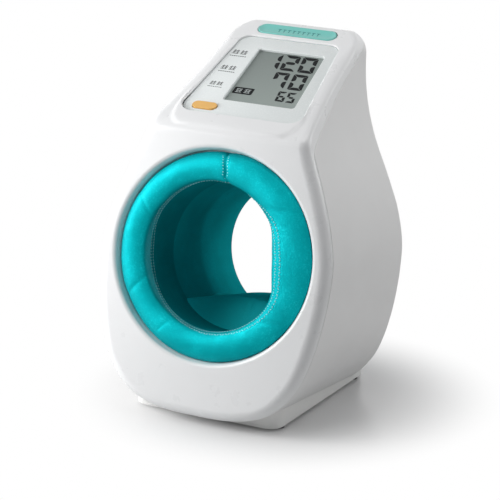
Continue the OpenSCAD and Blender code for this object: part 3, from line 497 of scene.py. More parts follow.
def clothMap(piece, rings, closed=True, flip=False):
    # map of a loft's faces, in steps of 100 mm along the rings and round them
    rings = np.asarray(rings)
    count, n = rings.shape[:2]
    if closed:
        rings = np.concatenate([rings, rings[:1]])
    u = np.concatenate([[0], np.cumsum(norm(np.diff(rings, axis=0), axis=-1).mean(1))]) / 100
    loop = np.concatenate([rings, rings[:, :1]], axis=1)
    v = np.cumsum(norm(np.diff(loop, axis=1), axis=-1), 1) / 100
    v = np.concatenate([np.zeros((len(v), 1)), v], 1)
    corners = []
    for j in range(count if closed else count - 1):
        for i in range(n):
            a, b = i, i + 1
            quad = [(u[j], v[j, a]), (u[j + 1], v[j + 1, a]), (u[j + 1], v[j + 1, b]), (u[j], v[j, b])]
            corners += quad[::-1] if flip else quad
    layer = piece.data.uv_layers.new(name="cloth")
    corners += [(0.0, 0.0)] * (len(layer.data) - len(corners))
    layer.data.foreach_set("uv", np.array(corners, np.float32).ravel())


def unitRows(v):
    return v / np.maximum(norm(v, axis=-1, keepdims=True), 1e-9)


bib = {"half": 59.5, "low": 105.0, "corner": 15.0, "height": 1.3, "soft": 2.4, "fadeTop": 138, "fade": 22}


# how far the hood's surround stands out over the front face
def bibRise(points):
    rise, depth = unplace(points)
    x = np.abs(points[..., 0]) - (bib["half"] - bib["corner"])
    z = bib["low"] + bib["corner"] - rise
    away = np.hypot(np.maximum(x, 0), np.maximum(z, 0))
    inside = bib["corner"] - np.where((x > 0) & (z > 0), away, np.maximum(x, z))
    t = np.clip(inside / bib["soft"], 0, 1)
    fade = np.clip((bib["fadeTop"] - rise) / bib["fade"], 0, 1)
    return bib["height"] * t * t * (3 - 2 * t) * fade * fade * (3 - 2 * fade)


def frontCover():
    r = body["frontEdge"]
    inner = outline - outward * r
    angle = np.arctan2(inner[:, 0], inner[:, 1])
    hole, rim = body["holeR"], body["rimR"]

    def circle(radius, a):
        return facePoint(radius * np.sin(angle), np.full(len(angle), float(a)), radius * np.cos(angle))
    drop = body["collarStep"] - rim
    rings = [circle(body["collarR"], a) for a in (body["collarDepth"], 9, body["collarStep"])]
    rings += [circle(hole - (hole - body["collarR"]) * share, rim + drop * share ** 1.3)
              for share in (0.85, 0.6, 0.35, 0.15, 0)]
    rings += [circle(hole + rim - rim * cos(t), rim - rim * sin(t))
              for t in np.radians([18, 36, 54, 72, 90])]
    start = (hole + rim) * np.stack([np.sin(angle), np.cos(angle)], -1)
    for share in np.linspace(0, 1, 76)[1:-1]:
        share = share ** 1.25
        p = start + (inner - start) * share
        rings.append(place(p[:, 0], p[:, 1], frontDepth(p[:, 1])))
    side, density = sidePath()
    front, rear = splitAtSeam(side, density, body["seamGap"])
    rings = np.concatenate([np.array(rings), front])
    normal = gridNormals(rings)
    rings = rings + normal * bibRise(rings)[..., None] * (normal[..., 1] < -0.2)[..., None]
    normal = gridNormals(rings)
    ending = unitRows(rings[-1] - rings[-3])
    lip = lipRings(rings[-1], ending, normal[-1], body["lipR"])
    innerSkin = (rings - normal * body["skin"])[::-1]
    end = len(innerSkin) - 10
    keep = np.r_[0:30:2, 30:end:4, end:len(innerSkin)]
    cover = loftPiece("frontCover", np.concatenate([rings[:-1], lip, innerSkin[keep]]), closed=True)
    pill = startPill

    def startHole(grow):
        return pillOutline(pill["length"] + 0.7, pill["width"] + 0.3, grow, (0, pill["v"]))
    cuts = [recessCutter("panelRecess", panelOutline, -9, hood["sink"], 0.9, 0.2),
            recessCutter("startHole", startHole, -14, hood["sink"], 0.5, 0.35), footCutter("footCut")]
    return cutPiece(cover, cuts), rear


foot = {"width": 136.4, "length": 197.0, "corner": 13.0, "frontTop": 23.0, "rearTop": 12.6, "clear": 0.25}


def footOutline(grow):
    r = foot["corner"]
    x, y0, y1 = foot["width"] / 2 - r, r - middleY, foot["length"] - middleY - r
    return roundedPolygon([(-x, y0), (x, y0), (x, y1), (-x, y1)], r + grow)


def footCutter(name):
    ring = footOutline(foot["clear"])
    slope = (foot["frontTop"] - foot["rearTop"]) / foot["length"]
    top = foot["frontTop"] - (ring[:, 1] + middleY) * slope + foot["clear"]
    low, high = (np.column_stack([ring, z]) for z in (np.full(len(ring), -40.0), top))
    return loftPiece(name, [low, high], flip=True)


startPill = {"length": 74.3, "width": 14.2, "v": 104.9, "rim": 1.0, "stand": 0.45, "flange": 1.4, "dish": 1.0}
screws = {"places": [(88, -60), (76, 78), (75, -103), (57, 112)], "bore": 3.3, "behindSeam": 20, "past": 30}


def screwCutter(name, u, w):
    turn = np.linspace(0, 2 * pi, 33)[:-1]
    bore = screws["bore"] * (np.outer(np.cos(turn), [1, 0, 0]) + np.outer(np.sin(turn), [0, sinB, cosB]))
    ends = (float(seamDepth(float(w))) + screws["behindSeam"], body["depth"] + screws["past"])
    middles = [(u, w * sinL + k * cosB - middleY, ringHeight + w * cosL - k * sinB) for k in ends]
    return loftPiece(name, [np.array(middle) + bore for middle in middles])


socket = {"x": 78.02, "z": 50.0, "r": 5.0}


def rearCover(rings):
    normal = gridNormals(rings)
    starting = unitRows(rings[0] - rings[2])
    lip = lipRings(rings[0], starting, normal[0], body["lipR"])[::-1]
    innerSkin = (rings - normal * body["skin"])[::-1]
    keep = np.r_[0:len(innerSkin) - 1:3, len(innerSkin) - 1]
    cover = loftPiece("rearCover", np.concatenate([lip, rings[1:], innerSkin[keep]]), closed=True)
    turn = np.linspace(0, 2 * pi, 49)[:-1]
    hole = [np.column_stack([socket["x"] + socket["r"] * np.cos(turn), np.full(48, y),
                             socket["z"] + socket["r"] * np.sin(turn)]) for y in (60.0, 120.0)]
    cuts = [footCutter("footCut"), loftPiece("socketHole", hole, flip=True)]
    cuts += [screwCutter("screwHole", s * u, w) for u, w in screws["places"] for s in (-1, 1)]
    return cutPiece(cover, cuts)


frontPiece, rearRings = frontCover()
print("front cover made:", len(frontPiece.data.polygons), "faces")
rearPiece = rearCover(rearRings)
print("rear cover made:", len(rearPiece.data.polygons), "faces")


# soft pieces of the arm tunnel
pad = {"outer": 87.9, "lip": 64.0, "edge": 5.5, "rim": 9.6, "crown": 2.5, "back": 10.9, "tongue": 15.0,
       "steps": 144, "swell": 0.8, "middle": 76,
       "snugTurns": (-180, -150, -130, 0, 20, 50, 90, 130, 160, 180),
       "snug": (0.5, 0.35, 0, 0, 0.5, 0.9, 1, 0.9, 0.65, 0.5),
       "sagTurns": (-180, -60, -20, 0, 20, 35, 47, 57, 66, 75, 84, 93, 102, 112, 125, 150, 180),
       "sag": (0, 0, 0, 1.3, 3.0, 3.9, 4.9, 5.8, 8.4, 10.6, 11.2, 10.4, 8.0, 3.4, 0.8, 0.2, 0)}


def oneTurn(turn):
    # the same turn between -180 and 180 degrees
    return (turn + 180) % 360 - 180


def lipBulge(turn):
    # how far the soft cuff sags into the opening at a turn in degrees from the top
    fine = np.interp(np.arange(-200, 201), pad["sagTurns"], pad["sag"])
    soft = np.convolve(fine, np.hanning(17) / np.hanning(17).sum(), "same")
    return np.interp(oneTurn(turn), np.arange(-200, 201), soft)


def padSection(turn):
    # section of the padded ring at one turn: radius and depth, from the lip round to the back
    sag = lipBulge(turn)
    lip = pad["lip"] - sag
    snug = np.interp(oneTurn(turn), pad["snugTurns"], pad["snug"])
    edge, rim = pad["outer"] + 2.5 * snug, pad["rim"] - 6.8 * snug
    half, middle = (edge - lip) / 2, (edge + lip) / 2
    g = np.radians(np.linspace(180, 0, 19))
    base = pad["edge"] + (rim - pad["edge"]) * (1 + np.cos(g)) / 2
    bulge = np.sin(g) ** np.where(g < pi / 2, 0.8 + 0.4 * snug, 0.8)
    crown = np.stack([middle + half * np.cos(g), base - (base + pad["crown"]) * bulge], -1)
    inner = [(65.6, pad["back"]), (65.5, pad["tongue"] - 0.2), (64.3 - 0.66 * sag, pad["tongue"]),
             (64.15 - 0.82 * sag, 11.5), (lip + 0.1, 8.4)]
    outer = [(min(edge - 0.2, 88.5), rim + (pad["back"] - rim) * 0.45),
             (pad["outer"] - 0.4, pad["back"] - 0.2), (pad["outer"] - 3, pad["back"]), (78.0, pad["back"])]
    return np.concatenate([inner, crown, outer])


def softCloth(piece, pinned, pressure, frames, cap):
    # lets air pressure swell a closed cloth, and keeps each point within a distance of its start
    start = np.array([v.co for v in piece.data.vertices])
    group = piece.vertex_groups.new(name="pinned")
    group.add([int(i) for i in pinned], 1.0, "REPLACE")
    cloth = piece.modifiers.new("cloth", "CLOTH")
    cloth.settings.vertex_group_mass = "pinned"
    cloth.settings.use_pressure = True
    cloth.settings.uniform_pressure_force = pressure
    cloth.settings.effector_weights.gravity = 0
    cloth.settings.quality = 5
    cloth.collision_settings.use_self_collision = False
    cloth.point_cache.frame_start = 1
    cloth.point_cache.frame_end = frames
    for number in range(1, frames + 1):
        scene.frame_set(number)
    mesh = piece.evaluated_get(bpy.context.evaluated_depsgraph_get()).data
    moved = np.array([v.co for v in mesh.vertices])
    piece.modifiers.remove(cloth)
    scene.frame_set(1)
    step = moved - start
    length = norm(step, axis=1, keepdims=True)
    moved = start + step * np.minimum(1, cap * mm / np.maximum(length, 1e-9))
    piece.data.vertices.foreach_set("co", moved.astype(np.float32).ravel())
    piece.data.update()


def subdivide(piece, levels):
    finer = piece.modifiers.new("finer", "SUBSURF")
    finer.levels = finer.render_levels = levels
    applyModifiers(piece)
    piece.data.shade_smooth()


def coordinates(piece):
    points = np.empty(len(piece.data.vertices) * 3, np.float32)
    piece.data.vertices.foreach_get("co", points)
    normals = np.empty(len(points), np.float32)
    piece.data.vertex_normals.foreach_get("vector", normals)
    return points.reshape(-1, 3).astype(float) / mm, normals.reshape(-1, 3).astype(float)


def shift(piece, points):
    piece.data.vertices.foreach_set("co", (points * mm).astype(np.float32).ravel())
    piece.data.update()


def faceCoordinates(points):
    # radius, turn from the top towards the right, and depth square to the front
    y, z = points[:, 1] + middleY, points[:, 2] - ringHeight
    up, depth = y * sinL + z * cosL, y * cosL - z * sinL
    return np.hypot(points[:, 0], up), np.degrees(np.arctan2(points[:, 0], up)), depth


def smoothNoise(x, y, scale, seed):
    # soft seeded waves, from -1 to 1
    rng = np.random.default_rng(seed)
    total = np.zeros(np.shape(x))
    for _ in range(6):
        angle, phase, size = rng.uniform(0, 2 * pi), rng.uniform(0, 2 * pi), rng.uniform(0.7, 1.5)
        total += np.sin((x * cos(angle) + y * sin(angle)) * size / scale + phase)
    return total / 6


# the sewn joint at the top: its offset, lean and kink, and the depth and half width of its two dents
joint = {"offset": 1.9, "lean": 3.9, "outer": 88, "span": 24, "kink": 1.6, "kinkR": 67, "kinkHalf": 2.5,
         "dents": ((1.5, 0.75), (0.7, 3.4))}


def seamOffset(radius):
    # how far the joint runs to the right of the middle
    kink = joint["kink"] * np.exp(-((radius - joint["kinkR"]) / joint["kinkHalf"]) ** 2)
    return joint["offset"] + joint["lean"] * (joint["outer"] - radius) / joint["span"] - kink


def ringPad():
    turns = np.arange(pad["steps"]) * 360 / pad["steps"]
    rings = []
    for turn in turns:
        section = padSection(turn)
        r, a, t = section[:, 0], section[:, 1], radians(turn)
        rings.append(facePoint(r * sin(t), a, r * cos(t)))
    rings = np.array(rings)
    piece = loftPiece("ringPad", rings, closed=True, smooth=180)
    clothMap(piece, rings)
    count, n = rings.shape[:2]
    index = np.arange(count * n).reshape(count, n)
    pinned = np.concatenate([index[:, :4].ravel(), index[:, -4:].ravel(), index[0], index[1], index[-1]])
    softCloth(piece, pinned, 5.0, 20, pad["swell"])
    subdivide(piece, 2)
    points, normals = coordinates(piece)
    radius, turn, depth = faceCoordinates(points)
    front = np.clip((10.4 - depth) / 2, 0, 1)
    inside = np.clip((14 - depth) / 2, 0, 1) * np.clip((68 - radius) / 2, 0, 1)
    front = np.maximum(front, inside)
    along = np.radians(turn) * radius
    seam = np.where(np.abs(turn) < 90, along - seamOffset(radius), 99)
    dent = sum(deep * np.exp(-(seam / half) ** 2) for deep, half in joint["dents"])
    middle = pad["middle"]
    ripple = (0.22 * smoothNoise(np.radians(turn) * middle, radius, 9, 4)
              + 0.12 * smoothNoise(along, radius, 4, 9))
    for at, tilt, length, width, deep in padCreases:
        across = oneTurn(turn - at) * radius * pi / 180 - (radius - middle) * tilt
        ripple -= deep * np.exp(-(across / width) ** 2) * np.exp(-((radius - middle) / length) ** 2)
    shift(piece, points + normals * ((ripple - dent) * front)[:, None])
    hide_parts("ring_pad")
    return piece


# creases of the padded ring: turn, tilt, length, width and depth
padCreases = [(-62, 0.5, 10, 2.0, 0.7), (-118, -0.4, 12, 2.4, 0.6), (52, 0.8, 8, 3.0, 0.6),
              (128, -0.6, 9, 3.2, 0.7), (-150, 0.3, 9, 2.2, 0.35), (100, 0.2, 10, 4.0, 0.35)]
lining = {"thickness": 1.2, "cuffEnd": 117.0, "cuffR": 65.3, "rearR": 63.8, "front": 14.6, "end": 175.3,
          "lip": 64.4}


def liningRadius(turn, a):
    # the cuff's bore, then a soft shoulder and the slightly narrower band at the rear
    wave = 2.0 * np.sin(turn * 2 + 0.7) - 7 * np.clip(np.cos(turn + 0.6), 0, 1) ** 2
    step = 1 / (1 + np.exp(-(a - lining["cuffEnd"] - wave) / 2.2))
    r = lining["cuffR"] + (lining["rearR"] - lining["cuffR"]) * step - 0.9 * np.exp(-((a - 11) / 16) ** 2)
    return r + 0.25 * smoothNoise(turn * 64, a, 14, 3)


def tunnelLining():
    turns = np.radians(np.arange(0, 360, 2))
    inner, outer, radii = [], [], []
    lean = sinT * cosL - cosT * sinL
    for share in np.linspace(0, 1, 96):
        nominal = lining["front"] + share * 160
        r = liningRadius(turns, np.full_like(turns, nominal))
        radii.append(np.where(nominal > 60, r, 66.0))
        r = r - 0.75 * lipBulge(np.degrees(turns)) * np.exp(-((nominal - 11) / 12) ** 2)
        x, z = r * np.sin(turns), r * np.cos(turns)
        first = lining["front"] - z * lean
        last = (lining["end"] - z * sinT) / cosT
        a = first + (last - first) * share
        inner.append(tunnelPoint(x, a, z))
        skin = np.clip(lining["lip"] - r, 0.4, 9) if share > 0.965 else lining["thickness"]
        grow = (r + skin) / r
        outer.append(tunnelPoint(x * grow, a, z * grow))
    rings = np.array(inner + outer[::-1])
    piece = loftPiece("tunnelLining", rings, closed=True, smooth=60)
    clothMap(piece, rings)
    band = np.clip((66 - np.array(radii + radii[::-1])) / 1.6, 0, 1)
    zone = piece.data.attributes.new("rearBand", "FLOAT", "POINT")
    zone.data.foreach_set("value", band.ravel().astype(np.float32))
    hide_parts("tunnel_lining")
    return piece


rest = {"middle": 38.2, "crown": 171.0, "start": 57.0, "rise": 36.0, "end": 170.8, "under": 0.5,
        "crease": 0.55, "tunnelR": 64.6, "thin": 0.6}


def armRest():
    # crowned cushion on the floor of the tunnel, which ramps up from the front
    shares = np.linspace(-1, 1, 65)
    top, under = [], []
    for t in np.linspace(0, 1, 81):
        a = rest["start"] + (rest["end"] / cosT - rest["start"]) * t
        x = shares * sqrt(rest["tunnelR"] ** 2 - (rest["middle"] + 6.0) ** 2)
        r = liningRadius(np.pi - np.arcsin(x / rest["tunnelR"]), np.full_like(x, a))
        floor = np.sqrt(r * r - x * x)
        ramp = np.clip((a - rest["start"]) / rest["rise"], 0, 1)
        ramp = ramp * ramp * (3 - 2 * ramp)
        height = (floor - (rest["middle"] + x * x / (2 * rest["crown"]))) * ramp
        fold = x - 10 + 22 * (a - rest["start"]) / 114
        begun = np.clip((a - rest["start"]) / 20, 0, 1)
        height = height + rest["crease"] * np.exp(-(fold / 1.6) ** 2) * begun
        thin = rest["thin"]
        height = np.where(height > thin, height, thin * np.exp(height / thin - 1)) - 0.25
        depth = np.minimum(a, (rest["end"] + (floor - height) * sinT) / cosT)
        top.append(tunnelPoint(x, depth, height - floor))
        under.append(tunnelPoint(x, depth, -floor - rest["under"]))
    loops = [np.concatenate([above, below[::-1]]) for above, below in zip(top, under)]
    piece = loftPiece("armRest", loops, flip=True, smooth=50)
    clothMap(piece, loops, closed=False, flip=True)
    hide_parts("arm_rest")
    return piece


padPiece = ringPad()
liningPiece = tunnelLining()
restPiece = armRest()
print("padded ring, lining and arm rest made")


# prints and segments on the panel
def prisms(name, outlines, low, high):
    # flat-topped prisms on the sloping panel, one for each outline; low and high may be functions of x and v
    points, faces = [], []
    for shape in outlines:
        shape = np.asarray(shape, float)
        area = np.sum(shape[:, 0] * np.roll(shape[:, 1], -1) - np.roll(shape[:, 0], -1) * shape[:, 1])
        shape = shape if area > 0 else shape[::-1]
        n, start = len(shape), len(points)
        for level in (low, high):
            heights = level(shape[:, 0], shape[:, 1]) if callable(level) else np.full(n, level)
            points += panelPoint(shape[:, 0], shape[:, 1], heights).tolist()
        faces.append(tuple(start + i for i in reversed(range(n))))
        faces.append(tuple(start + n + i for i in range(n)))
        faces += [(start + i, start + (i + 1) % n, start + n + (i + 1) % n, start + n + i) for i in range(n)]
    return meshPiece(name, points, faces, 30)


def clippedCorners(shape, r):
    shape = np.asarray(shape, float)
    result = []
    for before, here, after in zip(np.roll(shape, 1, 0), shape, np.roll(shape, -1, 0)):
        for other in (before, after):
            away = other - here
            length = norm(away)
            result.append(here + away / length * min(r, length / 3))
    return result


def digitSegments(digit, x0, v0, w, h, t, gap, slant):
    m = h / 2

    def under(shape):
        return [(x, h - v) for x, v in shape]

    def across(shape):
        return [(w - x, v) for x, v in shape]
    level = [(gap, h), (w - gap, h), (w - t - gap, h - t), (t + gap, h - t)]
    upright = [(0, h - gap), (t, h - t - gap), (t, m + t / 2 + gap), (0, m + gap)]
    middle = [(t / 2 + gap, m), (t + gap, m + t / 2), (w - t - gap, m + t / 2), (w - t / 2 - gap, m),
              (w - t - gap, m - t / 2), (t + gap, m - t / 2)]
    shapes = {"a": level, "b": across(upright), "c": across(under(upright)), "d": under(level),
              "e": under(upright), "f": upright, "g": middle}
    lit = {"0": "abcdef", "1": "bc", "2": "abged", "5": "afgcd", "6": "afgcde", "7": "abcf"}[digit]
    return [[(x0 + x - slant * v, v0 + v) for x, v in clippedCorners(shapes[s], 0.22 * t)] for s in lit]


# each row of the display: digits, left edges, bottom, width, height, stroke, gap and slant
display = {
    "glass": -2.4,
    "rows": [("120", (-11.8, 4.8, 21.4), 52.0, 14.4, 22.6, 3.9, 0.25, 0.12),
             ("70", (6.1, 23.1), 26.0, 13.4, 22.8, 3.8, 0.25, 0.10),
             ("65", (19.6, 28.7), 7.8, 8.0, 14.4, 2.4, 0.2, 0.12)],
    "badge": (-22.4, -4.0, 11.2, 20.6),
    "labels": [(-46.6, 59.8, 1.0), (-46.8, 35.6, 1.0), (-46.2, 12.4, 0.86)],
}


def box2(x0, x1, v0, v1):
    return [(x0, v0), (x1, v0), (x1, v1), (x0, v1)]


def displayPieces():
    glass = display["glass"]
    lit = []
    for digits, lefts, v0, w, h, t, gap, slant in display["rows"]:
        for digit, x0 in zip(digits, lefts):
            lit += digitSegments(digit, x0, v0, w, h, t, gap, slant)
    x0, x1, v0, v1 = display["badge"]
    r = 1.3
    lit.append(roundedPolygon([(x0 + r, v0 + r), (x1 - r, v0 + r), (x1 - r, v1 - r), (x0 + r, v1 - r)], r, 4))
    segments = prisms("displaySegments", lit, glass + 0.01, glass + 0.07)
    marks = []
    for x in (x0 + 2.4, x0 + 10.4):
        marks += [box2(x, x + 5.4, v, v + 0.8) for v in (v0 + 1.9, v0 + 4.2, v0 + 6.5)]
        marks += [box2(x + d, x + d + 0.8, v0 + 1.9, v0 + 7.3) for d in (0.9, 3.7)]
    badge = prisms("badgeMarks", marks, glass + 0.07, glass + 0.1)
    return segments, badge


def labelMarks():
    # plain bars where the captions stand
    marks = []
    for x, v, size in display["labels"]:
        for shift in (0.8, 8.4):
            left = x + shift * size
            marks += [box2(left, left + 6.2 * size, v + d * size, v + (d + 0.75) * size)
                      for d in (4.6, 6.7, 8.8)]
            marks += [box2(left + d * size, left + (d + 0.8) * size, v + 4.6 * size, v + 10.6 * size)
                      for d in (1.1, 4.2)]
        marks += [box2(x + d * size, x + (d + 1.5) * size, v + 0.9 * size, v + 1.9 * size)
                  for d in np.arange(0.4, 14.5, 2.0)]
    return prisms("labelMarks", marks, 0.0, 0.03)


def dish(share):
    # depth of the start button's dish, from its rim to its middle
    return startPill["dish"] * (1 - (1 - share) ** 2)


def startLevel(x, v, above=0.0):
    # height of the dished top of the start button
    b = startPill
    away = np.hypot(np.maximum(0, np.abs(x) - (b["length"] - b["width"]) / 2), v - b["v"])
    return b["stand"] + hood["sink"] - dish(np.clip(1 - away / (b["width"] / 2 - b["rim"]), 0, 1)) + above


def startButton():
    # long pill with a rounded rim and a shallow dish, on its flange below the hood
    b = startPill
    rim, flange = b["rim"], b["flange"]
    top = b["stand"] + hood["sink"]
    levels = [(-4.9, -1.2), (-4.9, flange), (-3.4, flange), (-3.4, 0.0)]
    levels += [(top - rim * (1 - sin(t)), -rim * (1 - cos(t)))
               for t in np.radians([0, 15, 30, 45, 60, 75])]
    levels += [(top - dish(share), -rim - share * (b["width"] / 2 - rim))
               for share in (0.03, 0.08, 0.15, 0.24, 0.34, 0.46, 0.6, 0.75, 0.9, 0.98)]
    rings = [onPanel(pillOutline(b["length"], b["width"], grow, (0, b["v"])), level)
             for level, grow in levels]
    piece = loftPiece("startButton", rings, flip=True, smooth=40)
    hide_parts("start_button")
    return piece


def startMarks():
    # a row of short plain strokes on the start button
    strokes = []
    v = startPill["v"] - 0.6
    for x in np.arange(-18.5, 19, 4.6):
        strokes += [box2(x, x + 3.2, v + 1.5, v + 2.3), box2(x + 1.2, x + 2.0, v - 2.1, v + 1.5)]
    low, high = (lambda x, v, lift=lift: startLevel(x, v, lift) for lift in (-0.02, 0.04))
    return prisms("startMarks", strokes, low, high)


segmentPiece, badgePiece = displayPieces()
labelPiece = labelMarks()
startPiece = startButton()
markPiece = startMarks()
print("display and buttons made")

# thread on the fabric: one mesh edge for each stitch, made round by Geometry Nodes
thread = {"width": 0.85, "share": 0.6, "pitch": 2.6, "away": 2.1, "bandPitch": 2.5, "bandHalf": 2.3,
          "zigzag": 1.2,
          "turns": (-180, -150, -125, -110, -90, -75, -60, -20, 20, 35, 50, 65, 87, 104, 116, 135, 160, 180),
          "lifts": (2, -3, -9, -12, -12, -7, -2, -5, -4, 2, 6.5, 10, 11.5, 11, 9.5, 6.5, 3.5, 2)}


def threadTree():
    tree = bpy.data.node_groups.new("threadStitches", "GeometryNodeTree")
    sockets = {"Geometry": "Geometry", "Width": "Float", "Share": "Float", "Material": "Material"}
    for label, kind in sockets.items():
        tree.interface.new_socket(label, in_out="INPUT", socket_type="NodeSocket" + kind)
    tree.interface.new_socket("Geometry", in_out="OUTPUT", socket_type="NodeSocketGeometry")
    given = addNode(tree, "NodeGroupInput").outputs
    spots = addNode(tree, "GeometryNodeMeshToPoints", {"Mesh": given["Geometry"]}, mode="EDGES").outputs[0]
    along, over = (addNode(tree, "GeometryNodeInputNamedAttribute", {"Name": label},
                           data_type="FLOAT_VECTOR").outputs[0] for label in ("along", "over"))
    length = maths(tree, "MULTIPLY", vectorLength(tree, along), given["Share"])
    halfLength = maths(tree, "MULTIPLY", length, 0.5)
    halfWidth = maths(tree, "MULTIPLY", given["Width"], 0.5)
    size = addNode(tree, "CombineXYZ", {0: halfLength, 1: halfWidth, 2: halfWidth}).outputs[0]
    turn = addNode(tree, "FunctionNodeAxesToRotation", {0: over, 1: along},
                   primary_axis="Z", secondary_axis="X").outputs[0]
    bead = addNode(tree, "GeometryNodeMeshUVSphere", {"Segments": 8, "Rings": 5, "Radius": 1.0}).outputs[0]
    laid = addNode(tree, "GeometryNodeInstanceOnPoints",
                   {"Points": spots, "Instance": bead, "Rotation": turn, "Scale": size}).outputs[0]
    whole = addNode(tree, "GeometryNodeRealizeInstances", {0: laid}).outputs[0]
    dressed = addNode(tree, "GeometryNodeSetMaterial", {"Geometry": whole, "Material": given["Material"]})
    addNode(tree, "NodeGroupOutput", {0: dressed.outputs[0]})
    return tree


def stitchPiece(name, stitches, material, width):
    # stitches are rows of start, end and outward direction, in metres
    stitches = np.array(stitches)
    ends = stitches[:, :2].reshape(-1, 3).tolist()
    mesh = bpy.data.meshes.new(name)
    mesh.from_pydata(ends, [(2 * i, 2 * i + 1) for i in range(len(stitches))], [])
    for label, rows in (("along", stitches[:, 1] - stitches[:, 0]), ("over", stitches[:, 2])):
        data = mesh.attributes.new(label, "FLOAT_VECTOR", "EDGE").data
        data.foreach_set("vector", rows.astype(np.float32).ravel())
    piece = newObject(name, mesh)
    stitcher = piece.modifiers.new("thread", "NODES")
    stitcher.node_group = threadTree()
    given = {"Width": width * mm, "Share": thread["share"], "Material": material}
    for item in stitcher.node_group.interface.items_tree:
        if item.in_out == "INPUT" and item.name in given:
            stitcher[item.identifier] = given[item.name]
    applyModifiers(piece)
    piece.data.shade_smooth()
    return piece


def surfaceTree(pieces):
    work = bmesh.new()
    for piece in pieces:
        work.from_mesh(piece.data)
    tree = BVHTree.FromBMesh(work)
    work.free()
    return tree


def onSurface(tree, point):
    # nearest point of a surface, a little out of it, and the direction out
    spot, normal = tree.find_nearest(Vector(point) * mm)[:2]
    return np.array(spot) + np.array(normal) * 0.08 * mm, np.array(normal)


def threadStitches():
    surface = surfaceTree([padPiece, liningPiece])
    stitches = []
    # two rows beside the joint at the top
    for side in (-1, 1):
        for radius in np.arange(63.0, 87.0, thread["pitch"]):
            ends = []
            for r in (radius, radius + thread["pitch"] * 0.7):
                x = seamOffset(np.array(r)) + side * thread["away"]
                a, z = np.array(-2.0 if r > 68 else 3.0), sqrt(r * r - x * x)
                ends.append(onSurface(surface, facePoint(x, a, z)))
            stitches.append((ends[0][0], ends[1][0], ends[0][1]))
    # two zigzag rows round the lip: inside the bore at the left, on the crown where the cuff sags
    steps = int(2 * pi * 64 / thread["bandPitch"] / 2) * 2
    for row in (-1, 1):
        spots = []
        for i in range(steps):
            turn = i * 360 / steps - 180
            lift = np.interp(turn, thread["turns"], thread["lifts"])
            lift += row * thread["bandHalf"] + thread["zigzag"] * (1 if i % 2 else -1)
            if lift < 0:
                a = pad["edge"] - lift
                r = 64.1 - lipBulge(turn) * exp(-((a - pad["edge"]) / 16) ** 2)
            else:
                crown = padSection(turn)[5:24]
                run = np.concatenate([[0], np.cumsum(norm(np.diff(crown, axis=0), axis=1))])
                r, a = (np.interp(lift, run, crown[:, c]) for c in (0, 1))
            t = radians(turn)
            spots.append(onSurface(surface, facePoint(r * sin(t), np.array(a), r * cos(t))))
        for here, ahead in zip(spots, spots[1:] + spots[:1]):
            stitches.append((here[0], ahead[0], here[1]))
    return stitches


# plate of the display: wide-cornered, with a bevelled window and the memory button's hole
plate = {"thick": 2.4, "edge": 0.45, "low": -2.1, "high": 76.215, "left": -24.2, "right": (41.9, 38.2),
         "corner": 2.6, "bevel": 0.7, "memory": (22.4, 9.4, -35.3, -14.6), "gap": 0.3}


def windowOutline(grow):
    p = plate
    r, (low, high) = p["corner"], p["right"]
    return roundedPolygon([(p["left"] + r, p["low"] + r), (low - r, p["low"] + r), (high - r, p["high"] - r),
                           (p["left"] + r, p["high"] - r)], r + grow, 8)


def panelPlate():
    p = plate
    e = p["edge"]
    levels = [(-p["thick"], 0.0), (-e, 0.0), (-0.29 * e, -0.29 * e), (0.0, -e)]
    piece = loftPiece("panelPlate", [onPanel(panelOutline(grow), n) for n, grow in levels], flip=True)
    window = [onPanel(windowOutline(grow), n) for n, grow in
              ((-p["thick"] - 1, 0.0), (-p["bevel"], 0.0), (-0.1, p["bevel"] * 0.8), (0.6, p["bevel"] * 1.6))]
    length, width, x, v = p["memory"]
    hole = [onPanel(pillOutline(length, width, p["gap"] + grow, (x, v)), n) for n, grow in
            ((-p["thick"] - 1, 0.0), (-0.35, 0.0), (0.5, 0.85))]
    cutPiece(piece, [loftPiece("windowCut", window, flip=True), loftPiece("memoryCut", hole, flip=True)])
    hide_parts("display_panel")
    return piece


platePiece = panelPlate()
print("display plate made:", len(platePiece.data.polygons), "faces")

# hard pieces taken from the CAD nodes, with rounded edges
softEdges = {"foot": 1.0, "memory_button": 0.35, "rear_ring": 0.5, "battery_door": 0.3,
             "bottom_plate": 0.3, "rubber_feet": 0.5}
softPieces = {node: softened(node.replace("_", " ").title().replace(" ", "") + "Soft", node, width)
              for node, width in softEdges.items()}
print("softened copies made:", len(softPieces))


# materials
def mouldedPlastic(name, colour, rough, grain=0.012, grainScale=1400.0, shade=0.955, coat=0.0, flecks=0.0,
                   specular=0.5):
    # plastic with faint flow clouds, a fine moulded grain and uneven gloss
    tree, spot = newMaterial(name)
    cloud = spread(tree, noise(tree, spot, 16.0, 3.0), 0.0, 1.0)
    fine = noise(tree, spot, grainScale, 2.0, 0.6)
    base = mixed(tree, cloud, rgb(*(c * shade for c in colour)), rgb(*colour))
    if flecks:
        dots = spread(tree, fine, 0.0, flecks, 0.5, 0.75)
        base = mixed(tree, dots, base, rgb(*(min(1, c * 1.5 + 0.1) for c in colour)))
    gloss = spread(tree, noise(tree, spot, 60.0, 4.0), rough * 0.88, rough * 1.14)
    normal = bumped(tree, fine, 0.35, grain * mm, bumped(tree, noise(tree, spot, 55.0, 2.0), 0.2, 0.05 * mm))
    finished(tree, Base_Color=base, Roughness=gloss, Normal=normal, Coat_Weight=coat,
             Coat_Roughness=0.18, Specular_IOR_Level=specular)


fabric = {"teal": rgb(0.0, 0.43, 0.475), "light": rgb(0.02, 0.68, 0.73), "deep": rgb(0.0, 0.33, 0.37),
          "dark": rgb(0.0, 0.12, 0.14), "gloss": rgb(0.05, 0.4, 0.45), "pitch": 1.15}


